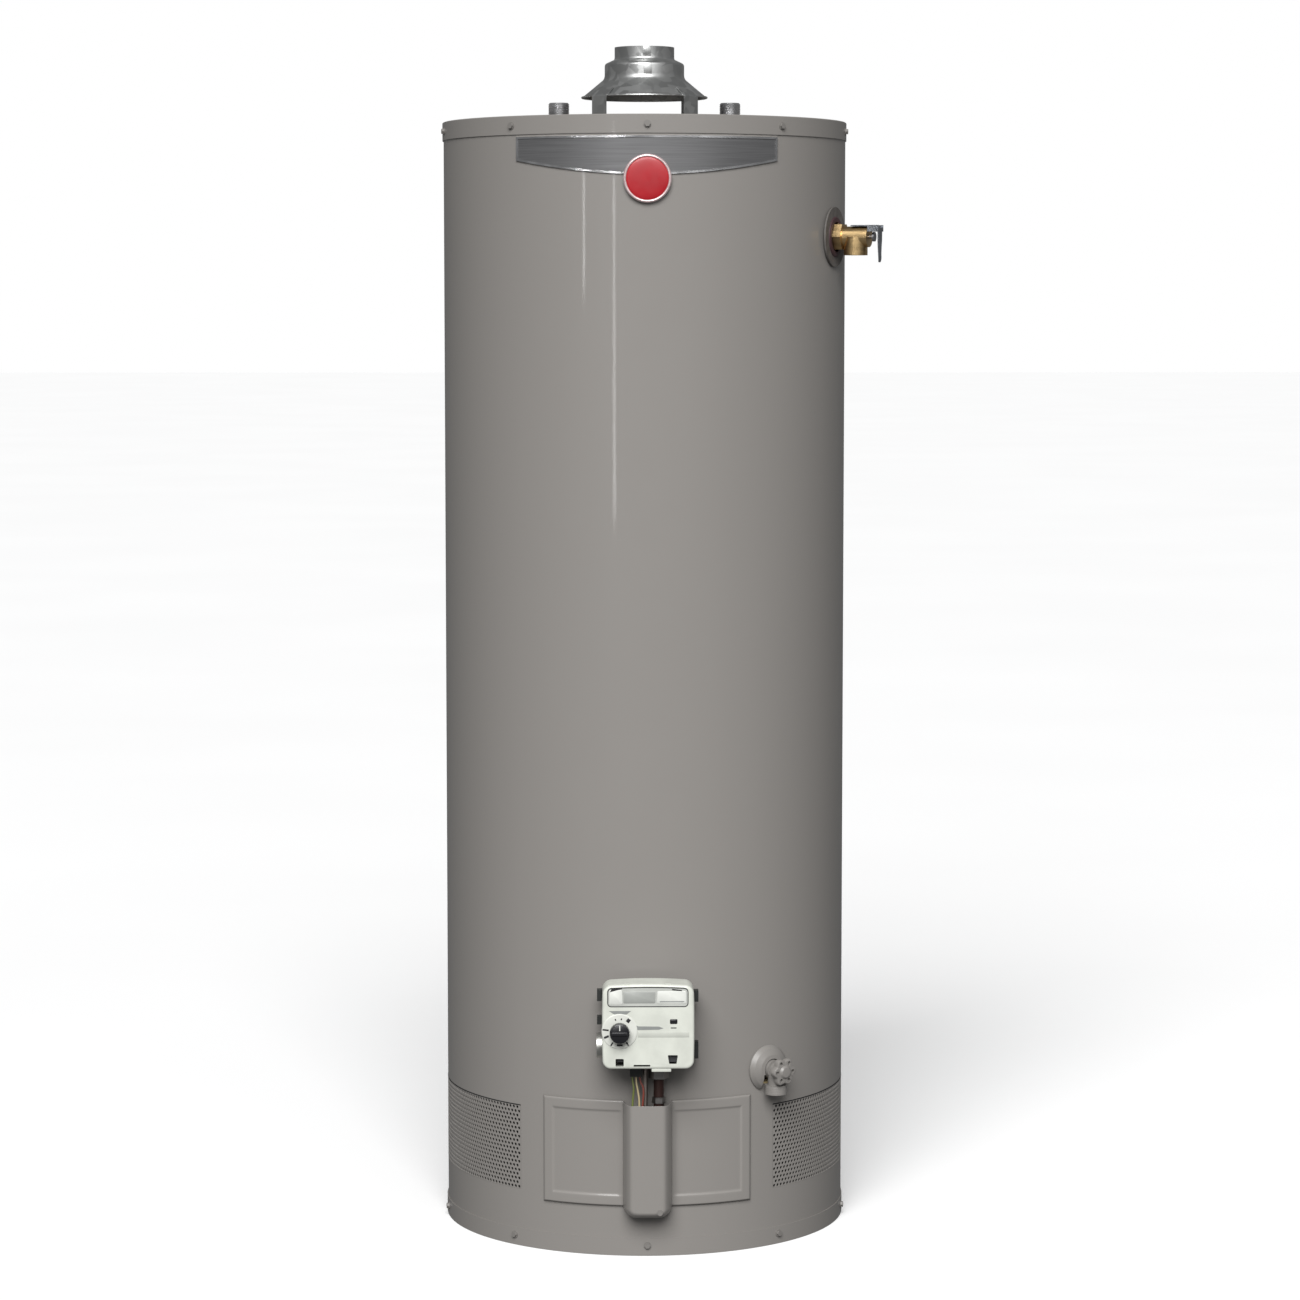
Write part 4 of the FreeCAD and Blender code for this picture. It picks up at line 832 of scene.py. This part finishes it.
def make_control():
    """Moulded cover with a blank label window, status window, dial marks and two tool recesses."""
    low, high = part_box("gas_valve_cover")
    half = (high.x - low.x) / 2
    front = -low.y
    back = -high.y
    stand = front_stand(0, 0, 0)
    arch = 2.6 * MM
    outline = rounded_outline(half - 0.8 * MM, low.z, high.z - arch, 10 * MM, arch=arch, bulge=0.8 * MM)
    shell = moulding("cover_block", outline, [
        (0.0, back), (0.0, front - 4.2 * MM), (0.25 * MM, front - 2.4 * MM),
        (0.9 * MM, front - 1.1 * MM), (2.0 * MM, front - 0.35 * MM), (3.6 * MM, front),
    ], stand)
    hollow = moulding("cover_hollow", inset(outline, 2 * MM), [
        (0.0, back - 5 * MM), (0.0, front - 2.6 * MM),
    ], stand)
    label_low, label_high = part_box("control_label_window")
    label_x = (label_low.x + label_high.x) / 2
    label_half = (label_high.x - label_low.x) / 2
    window = rounded_outline(label_half + 0.5 * MM, label_low.z - 0.5 * MM, label_high.z - 1.0 * MM, 5 * MM,
                             arch=1.5 * MM)
    window = [(x + label_x, y) for x, y in window]
    recess = moulding("label_recess", window, [(0.0, front - 1.6 * MM), (0.0, front + 5 * MM)], stand)
    knob_low, knob_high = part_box("control_knob")
    knob_x = (knob_low.x + knob_high.x) / 2
    knob_z = joints["knob_turn"]["pos_m"][2]
    lens_low, lens_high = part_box("status_window")
    cutters = [
        hollow,
        recess,
        lathe("knob_hole", [(0, -400 * MM), (5 * MM, -400 * MM), (5 * MM, 400 * MM), (0, 400 * MM)],
              front_stand(knob_x, 0, knob_z), 32),
        bevel_box("tool_hole", (-40 * MM, -400 * MM, 253.5 * MM), (-30 * MM, -300 * MM, 263 * MM), 1 * MM),
        bevel_box("status_hole", (lens_low.x - 0.4 * MM, -400 * MM, lens_low.z - 0.4 * MM),
                  (lens_high.x + 0.4 * MM, -320 * MM, lens_high.z + 0.4 * MM), 1.2 * MM),
    ]
    shield = rounded_outline(6.2 * MM, 0, 11 * MM, 1.2 * MM)
    shield = [(x * (0.72 + 0.28 * y / (11 * MM)) + 30 * MM, y + 256.5 * MM) for x, y in shield]
    cutters.append(moulding("shield_hole", shield, [(0.0, front - 20 * MM), (0.0, front + 5 * MM)], stand))
    boss_low, boss_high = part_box("gas_inlet_adapter")
    cutters.append(bevel_box("inlet_notch", (-half - 10 * MM, boss_low.y - 1.5 * MM, boss_low.z - 20 * MM),
                             (-half + 8 * MM, boss_high.y + 40 * MM, boss_high.z + 1.5 * MM), 2 * MM))
    for x in (-32 * MM, 20 * MM):
        cutters.append(bevel_box("top_slot", (x, -front + 1.2 * MM, high.z - 3 * MM),
                                 (x + 9 * MM, -front + 7 * MM, high.z + 5 * MM), 0.5 * MM))
    cutters.append(bevel_box("plug_slot", (-18 * MM, -front - 5 * MM, low.z + 3.2 * MM),
                             (2.5 * MM, -front + 20 * MM, low.z + 5.6 * MM), 0.6 * MM))
    finish_piece("control_cover", carve(shell, cutters), "root", "cover_plastic",
                 replaces=("gas_valve_cover",))
    make_label(window, stand, front, label_x, label_low.z, label_high.z)
    make_cover_marks(front, lens_low, lens_high)
    make_dial(knob_x, knob_z)


def make_label(window, stand, front, label_x, label_low, label_high):
    """A blank card under the window: a dark gasket line round it and three empty fields."""
    card = moulding("label_card", inset(window, 0.7 * MM),
                    [(0, front - 1.5 * MM), (0, front - 0.9 * MM)], stand)
    finish_piece("label_card", card, "root", "label_grey", replaces=("control_label_window",))
    outer = inset(window, 0.1 * MM)
    inner = inset(window, 1.1 * MM)
    loops = []
    for ring, level in ((outer, -1.5), (outer, -0.25), (inner, -0.25), (inner, -1.5), (outer, -1.5)):
        loops.append([(x, y, front + level * MM) for x, y in ring])
    finish_piece("label_gasket", loft("label_gasket", loops, stand, cap_ends=False), "root",
                 "label_grey", MARKING)
    middle = (label_low + label_high) / 2 - 0.6 * MM
    fields = (
        ("left_field", -47, -31.5, 18, PALE_FIELD),
        ("middle_field", -30, 9, 14, SOFT_FIELD),
        ("right_field", 11.5, 46.5, 15.5, PALE_FIELD),
    )
    for name, start, end, tall, material in fields:
        half = (end - start) / 2 * MM
        centre = label_x + (start + end) / 2 * MM
        shape = rounded_outline(half, -tall / 2 * MM, tall / 2 * MM, 1.5 * MM)
        shape = [(x + centre, y + middle) for x, y in shape]
        plate = moulding(name, shape,
                         [(0, front - 1.0 * MM), (0, front - 0.55 * MM), (0.3 * MM, front - 0.4 * MM)],
                         stand)
        finish_piece(name, plate, "root", "label_grey", material)
    rule = bevel_box("field_rule", (14 * MM, -front + 0.25 * MM, middle - 5.9 * MM),
                     (44 * MM, -front + 0.7 * MM, middle - 4.5 * MM), 0.15 * MM)
    finish_piece("field_rule", rule, "root", "label_grey", SOFT_MARKING)
    wedge = [(-47, 6.6), (-32, 10.8), (-32, 12.3), (-45, 10.4)]
    loops = [[(x * MM, middle + y * MM, front + level * MM) for x, y in wedge] for level in (-1.0, -0.2)]
    finish_piece("window_gap", loft("window_gap", loops, stand), "root", "label_grey", MARKING)
    notch = [(21, 9.2), (33, 7.8), (33, 9.0), (21, 10.6)]
    loops = [[(x * MM + 8 * MM, middle + y * MM, front + level * MM) for x, y in notch]
             for level in (-1.0, -0.2)]
    finish_piece("window_notch", loft("window_notch", loops, stand), "root", "label_grey", MARKING)


def make_cover_marks(front, lens_low, lens_high):
    """Blank printed bars on the cover, the status lens and the screw in the right-hand recess."""
    lift = 0.25 * MM
    stand = front_stand(0, 0, 0)
    dial_bar = [(-48, 322.4), (-21, 322.4), (-26.5, 318.2), (-41.5, 318.2)]
    loops = [[(x * MM, z * MM, front + level) for x, z in dial_bar] for level in (-0.2 * MM, lift)]
    finish_piece("dial_bar", loft("dial_bar", loops, stand), "root", "cover_plastic", SOFT_MARKING)
    arrow = [(-16, 298.8), (13, 299.2), (18.5, 301), (13, 303), (-12, 303.4), (-16, 305)]
    loops = [[(x * MM, z * MM, front + level) for x, z in arrow] for level in (-0.2 * MM, lift)]
    finish_piece("pointer_bar", loft("pointer_bar", loops, stand), "root", "cover_plastic", SOFT_MARKING)
    stripe = bevel_box("grey_stripe", (-13 * MM, -front - 0.12 * MM, 289.5 * MM),
                       (50 * MM, -front + 0.2 * MM, 296 * MM), 0.06 * MM)
    finish_piece("grey_stripe", stripe, "root", "cover_plastic", FAINT_BAND)
    tab = bevel_box("cover_tab", (4 * MM, -front + 1.5 * MM, 246.5 * MM),
                    (28 * MM, -front + 4 * MM, 252.5 * MM), 0.8 * MM)
    finish_piece("cover_tab", tab, "root", "cover_plastic")
    lens = bevel_box("status_lens", lens_low, lens_high, 0.8 * MM, 3)
    finish_piece("status_lens", lens, "root", "black_lens", replaces=("status_window",))
    dash = bevel_box("status_dash", (lens_low.x + 0.6 * MM, -front - lift, lens_low.z - 5.6 * MM),
                     (lens_high.x - 0.8 * MM, -front + 0.3 * MM, lens_low.z - 4.4 * MM), 0.12 * MM)
    finish_piece("status_dash", dash, "root", "cover_plastic", MARKING)
    screw = lathe("recess_screw", [(0, 2 * MM), (1.7 * MM, 1.8 * MM), (2.2 * MM, 1.0 * MM),
                                   (2.2 * MM, -5 * MM),
                                   (0, -5 * MM)], front_stand(30 * MM, -front + 8 * MM, 263 * MM), 32)
    finish_piece("recess_screw", screw, "root", "dark_plastic", SLOTS["stem_metal"])


def make_dial(knob_x, knob_z):
    """Dial disc with printed ticks, and the black fluted knob that turns and pushes."""
    low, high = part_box("dial_plate")
    face = low.y
    radius = (high.x - low.x) / 2
    ring = rounded([(5 * MM, 0), (5 * MM, 0.85 * MM), (radius - 1 * MM, 0.85 * MM), (radius, 0)], 0.5 * MM)
    finish_piece("dial_disc", lathe("dial_disc", ring, front_stand(knob_x, high.y, knob_z), closed=True),
                 "root", "dial_white", replaces=("dial_plate",))
    ticks = []
    for turn, first, last, wide in (
        (52, 14.8, 19.6, 2.2),
        (82, 14.4, 16.6, 0.8),
        (109, 14.4, 16.6, 0.8),
        (173, 13.4, 21.0, 1.0),
        (202, 14.4, 20.4, 1.35),
        (238, 15.6, 20.6, 0.9),
        (270, 15.6, 18.0, 3.6),
        (302, 15.6, 20.6, 0.9),
    ):
        at = Matrix.Translation((knob_x, face, knob_z)) @ Matrix.Rotation(math.radians(-turn), 4, "Y")
        ticks.append(bevel_box("tick", (first * MM, -0.15 * MM, -wide * MM), (last * MM, 0.3 * MM, wide * MM),
                               0.1 * MM, stand=at))
    finish_piece("dial_ticks", merged("dial_ticks", ticks), "root", "dial_white", MARKING)
    knob_low, knob_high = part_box("control_knob")
    knob_r = (knob_high.x - knob_low.x) / 2
    depth = knob_high.y - knob_low.y
    stand = front_stand(knob_x, knob_high.y, knob_z)
    flutes = 24
    per_flute = 6
    loops = []
    for share, level in ((0.985, 0), (1.0, 0.08), (1.0, 0.72), (0.97, 0.82), (0.90, 0.86)):
        loop = []
        for step in range(flutes * per_flute):
            angle = 2 * math.pi * step / (flutes * per_flute)
            groove = 0.35 * MM * (0.5 + 0.5 * math.cos(angle * flutes)) if share > 0.98 else 0.2 * MM
            around = knob_r * share - groove
            loop.append((around * math.cos(angle), around * math.sin(angle), level * depth))
        loops.append(loop)
    finish_piece("knob_cap", loft("knob_cap", loops, stand), "control_knob", "knob_black",
                 replaces=("control_knob",))
    grip = bevel_box("knob_grip", (-knob_r * 0.82, -2.4 * MM, depth * 0.8),
                     (knob_r * 0.82, 2.4 * MM, depth * 0.995),
                     0.9 * MM, 3, stand)
    finish_piece("knob_grip", grip, "control_knob", "knob_black")
    mark = bevel_box("knob_mark", (-0.6 * MM, 4 * MM, depth * 0.84), (0.6 * MM, knob_r * 0.86, depth * 0.885),
                     0.1 * MM, 1, stand)
    finish_piece("knob_mark", mark, "control_knob", "knob_black", PALE_FIELD)


def make_wires():
    """Three insulated leads from the plug down the channel and in to the pilot."""
    plug_low, plug_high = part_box("wire_connector")
    door_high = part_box("outer_door")[1].z
    centre_y = (plug_low.y + plug_high.y) / 2
    materials = (GREEN_WIRE, WHITE_WIRE, RED_WIRE)
    for index, name in enumerate(("green_lead", "white_lead", "red_lead")):
        x = (-19 + 4.5 * index) * MM
        inside = (-20 + 4.5 * index) * MM
        lean = (1.0, 3.4, 4.6)[index] * MM
        sway = (1.2, -1.6, 1.0)[index] * MM
        ahead = centre_y - 4 * MM
        points = [
            (x, centre_y, plug_low.z + 2 * MM),
            (x, ahead + 2 * MM, plug_low.z - 6 * MM),
            (x + lean + sway, ahead, door_high + 20 * MM),
            (x + lean - sway, ahead, door_high),
            (x, centre_y - 1 * MM, 150 * MM),
            (inside, centre_y + 8 * MM, 100 * MM),
            (inside, centre_y + 30 * MM, 96 * MM),
            (inside, -150 * MM, 96 * MM),
            (inside - 16 * MM, -93 * MM, 96 * MM),
        ]
        curve = bpy.data.curves.new(name, "CURVE")
        curve.dimensions = "3D"
        curve.bevel_depth = 1.2 * MM
        curve.bevel_resolution = 3
        curve.use_fill_caps = True
        spline = curve.splines.new("NURBS")
        spline.points.add(len(points) - 1)
        for target, point in zip(spline.points, points):
            target.co = (*point, 1)
        spline.use_endpoint_u = True
        spline.order_u = 3
        curve.materials.append(materials[index])
        item = bpy.data.objects.new(name, curve)
        bpy.context.scene.collection.objects.link(item)
        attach(item, "root")
        if index == 0:
            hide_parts("wire_harness")
    make_manifold_nut(door_high)


def make_manifold_nut(door_high):
    """A flare nut on the manifold, just above the door's channel."""
    low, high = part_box("manifold_tube")
    tube = 6.35 * MM
    stand = Matrix.Translation((high.x - tube, low.y + tube, door_high))
    loops = []
    for reach, level in ((7.4, 0), (8.4, 0.8), (8.4, 7.6), (7.4, 8.4)):
        loops.append([(reach * MM * math.cos(math.radians(60 * step)),
                       reach * MM * math.sin(math.radians(60 * step)),
                       level * MM) for step in range(6)])
    nut = loft("manifold_nut", loops, stand)
    bore = lathe("nut_bore",
                 [(0, -5 * MM), (tube + 0.05 * MM, -5 * MM), (tube + 0.05 * MM, 15 * MM), (0, 15 * MM)],
                 stand, 48)
    finish_piece("manifold_nut", carve(nut, [bore]), "root", "brass", DULL_NICKEL, smooth=None)


# ---------------------------------------------------------------- valves

def make_relief_details():
    """A bent strip lever with a rolled knuckle, and a rubber washer round the brass body at the jacket."""
    azimuth = azimuth_of(joints["relief_stem_lift"]["axis"])
    pin = Vector(joints["relief_lever_lift"]["pos_m"])
    stand = Matrix.Translation(pin) @ radial_stand(azimuth, 0, 0)
    path = [(-0.6, 2.9, 6.6), (1.2, 2.7, 7.4), (2.3, 1.4, 7.5), (2.5, -0.6, 7.5),
            (2.3, -7, 7.5), (2.3, -14, 7.3),
            (2.2, -22, 6.2), (2.3, -31, 5.0), (2.6, -37, 4.6), (2.3, -40.4, 3.6), (1.9, -41.8, 1.8)]
    thick = 0.7
    edge = 0.25
    loops = []
    for index, (out, up, half) in enumerate(path):
        before = Vector(path[max(0, index - 1)][:2])
        after = Vector(path[min(len(path) - 1, index + 1)][:2])
        along = (after - before).normalized()
        normal = Vector((-along.y, along.x))
        loop = []
        for across, through in ((half, -thick + edge), (half, thick - edge), (half - edge, thick),
                                (-half + edge, thick), (-half, thick - edge), (-half, -thick + edge),
                                (-half + edge, -thick), (half - edge, -thick)):
            loop.append((across * MM, (up + normal.y * through) * MM, (out + normal.x * through) * MM))
        loops.append(loop)
    finish_piece("lever_tongue", loft("lever_tongue", loops, stand), "tp_lever", "lever_steel",
                 replaces=("tp_lever",))
    roll = [(1.56 * MM, -8.3 * MM), (2.9 * MM, -8.3 * MM), (3.0 * MM, -8.0 * MM), (3.0 * MM, 8.0 * MM),
            (2.9 * MM, 8.3 * MM), (1.56 * MM, 8.3 * MM)]
    cross = stand @ Matrix.Rotation(math.radians(90), 4, "Y")
    finish_piece("lever_knuckle", lathe("lever_knuckle", roll, cross, 40, closed=True), "tp_lever",
                 "lever_steel")
    washer = rounded([(18.5 * MM, 2.5 * MM), (18.5 * MM, 4.6 * MM),
                      (24.5 * MM, 4.2 * MM), (25.5 * MM, 2.5 * MM)],
                     0.8 * MM)
    flange_low, flange_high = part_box("tp_escutcheon")
    seat = radial_stand(azimuth, JACKET_R, (flange_low.z + flange_high.z) / 2)
    finish_piece("relief_washer", lathe("relief_washer", washer, seat, closed=True), "root", "gasket_rubber",
                 PURPLE_RUBBER)


def make_drain_details():
    """Lobed handle with soft edges and finger slots, and the thread on the hose outlet."""
    joint = joints["drain_handle_turn"]
    azimuth = azimuth_of(joint["axis"])
    centre = Vector(joint["pos_m"])
    stand = Matrix.Translation(centre) @ radial_stand(azimuth, 0, 0)
    start = -4 * MM
    lobes = 6
    steps = 120
    loops = []
    for share, level in ((0.90, 0.1), (0.98, 0.6), (1.0, 1.6), (1.0, 6.0),
                         (0.97, 7.2), (0.90, 7.9), (0.55, 8.2),
                         (0.45, 10.0), (0.40, 10.7), (0.30, 10.9)):
        loop = []
        for step in range(steps):
            angle = 2 * math.pi * step / steps
            swell = 0.5 + 0.5 * math.cos(lobes * angle)
            radius = (14.2 + 3.6 * swell ** 0.8) * MM * share
            if share < 0.6:
                radius = 15.5 * MM * share
            loop.append((radius * math.cos(angle), radius * math.sin(angle), start + level * MM))
        loops.append(loop)
    body = loft("handle_body", loops, stand)
    cutters = []
    for index in range(lobes):
        angle = 2 * math.pi * index / lobes
        turn = stand @ Matrix.Rotation(angle, 4, "Z")
        cutters.append(bevel_box("finger_slot", (9.6 * MM, -2.1 * MM, start + 4 * MM),
                                 (14.6 * MM, 2.1 * MM, start + 14 * MM), 1.2 * MM, 3, turn))
    finish_piece("drain_knob", carve(body, cutters), "drain_handle", "drain_plastic",
                 replaces=("drain_handle",))
    outlet = mounts["drain_outlet"]
    radius = outlet["dims"]["r_mm"] * MM
    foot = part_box("drain_valve_body")[0].z + 1.2 * MM
    pitch = 2.2 * MM
    stand = Matrix.Translation((outlet["pos_m"][0], outlet["pos_m"][1], foot))
    profile = []
    for turn in range(4):
        at = turn * pitch
        profile += [(radius - 0.3 * MM, at), (radius + 0.12 * MM, at + pitch * 0.3),
                    (radius + 0.12 * MM, at + pitch * 0.55), (radius - 0.3 * MM, at + pitch * 0.85)]
    finish_piece("outlet_thread", lathe("outlet_thread", profile, stand, 64, closed=True), "root",
                 "drain_plastic")


# ---------------------------------------------------------------- studio

def make_studio():
    """Pale floor, white surroundings, a broad soft sun from the front left and three softboxes."""
    floor_mesh = bpy.data.meshes.new("floor")
    half = 60.0
    floor_mesh.from_pydata([(-half, -half, 0), (half, -half, 0), (half, half, 0), (-half, half, 0)], [],
                           [[0, 1, 2, 3]])
    floor = bpy.data.objects.new("studio_floor", floor_mesh)
    floor.location.z = -0.0005
    bpy.context.scene.collection.objects.link(floor)
    surface = Finish("studio_floor", 0.9, Emission_Color=(1, 1, 1, 1), Emission_Strength=0.16)
    surface.colour(surface.noise(0.8, 3), (0.88, 0.88, 0.88), (0.90, 0.90, 0.90))
    floor_mesh.materials.append(surface.material)
    floor.visible_diffuse = False
    floor.visible_glossy = False
    world = bpy.data.worlds.new("studio")
    world.use_nodes = True
    tree = world.node_tree
    backdrop = tree.nodes["Background"]
    backdrop.inputs["Color"].default_value = (1, 1, 1, 1)
    backdrop.inputs["Strength"].default_value = 1.0
    glow = tree.nodes.new("ShaderNodeBackground")
    glow.inputs["Color"].default_value = (0.98, 0.99, 1.0, 1)
    glow.inputs["Strength"].default_value = 0.17
    chooser = tree.nodes.new("ShaderNodeMixShader")
    path = tree.nodes.new("ShaderNodeLightPath")
    tree.links.new(path.outputs["Is Camera Ray"], chooser.inputs["Fac"])
    tree.links.new(glow.outputs["Background"], chooser.inputs[1])
    tree.links.new(backdrop.outputs["Background"], chooser.inputs[2])
    tree.links.new(chooser.outputs["Shader"], tree.nodes["World Output"].inputs["Surface"])
    bpy.context.scene.world = world
    sun = bpy.data.lights.new("soft_sun", "SUN")
    sun.energy = 4.0
    sun.angle = math.radians(38)
    lamp = bpy.data.objects.new("soft_sun", sun)
    azimuth = math.radians(-7)
    elevation = math.radians(38)
    towards = Vector((math.sin(azimuth) * math.cos(elevation), -math.cos(azimuth) * math.cos(elevation),
                      math.sin(elevation)))
    lamp.rotation_euler = towards.to_track_quat("Z", "Y").to_euler()
    lamp.location = towards * 6
    bpy.context.scene.collection.objects.link(lamp)
    add_light("softbox_right", (1.35, -3.34, 2.6), Vector((0, 0, 1.2)), 2.4, 1.6, 20)
    add_light("strip_near", (-1.50, -4.75, 1.13), Vector((0, 0, 1.13)), 0.10, 0.95, 6)
    add_light("strip_far", (-2.75, -4.05, 1.36), Vector((0, 0, 1.36)), 0.10, 0.30, 2.5)


def add_light(name, place, target, width, height, power):
    data = bpy.data.lights.new(name, "AREA")
    data.shape = "RECTANGLE"
    data.size = width
    data.size_y = height
    data.energy = power
    item = bpy.data.objects.new(name, data)
    item.location = place
    item.rotation_euler = (target - Vector(place)).to_track_quat("-Z", "Y").to_euler()
    bpy.context.scene.collection.objects.link(item)
    return item


def make_camera():
    """Eye height 1.18 m, 4.87 m from the heater's axis, a little left of its front, looking down."""
    distance = 4.868
    height = 1.182
    azimuth = math.radians(-0.8)
    pitch = math.radians(5.255)
    aim_left = math.radians(0.084)
    data = bpy.data.cameras.new("camera")
    data.sensor_width = 36
    data.lens = 104.4
    camera = bpy.data.objects.new("camera", data)
    camera.location = (distance * math.sin(azimuth), -distance * math.cos(azimuth), height)
    camera.rotation_euler = (math.radians(90) - pitch, 0, azimuth - aim_left)
    bpy.context.scene.collection.objects.link(camera)
    bpy.context.scene.camera = camera


dress_cad_nodes()
make_camera()
make_studio()
make_vents()
make_jacket_details()
make_emblem()
make_hood()
make_pipes()
make_door()
make_control()
make_wires()
make_relief_details()
make_drain_details()
bpy.context.scene.view_settings.view_transform = "Standard"
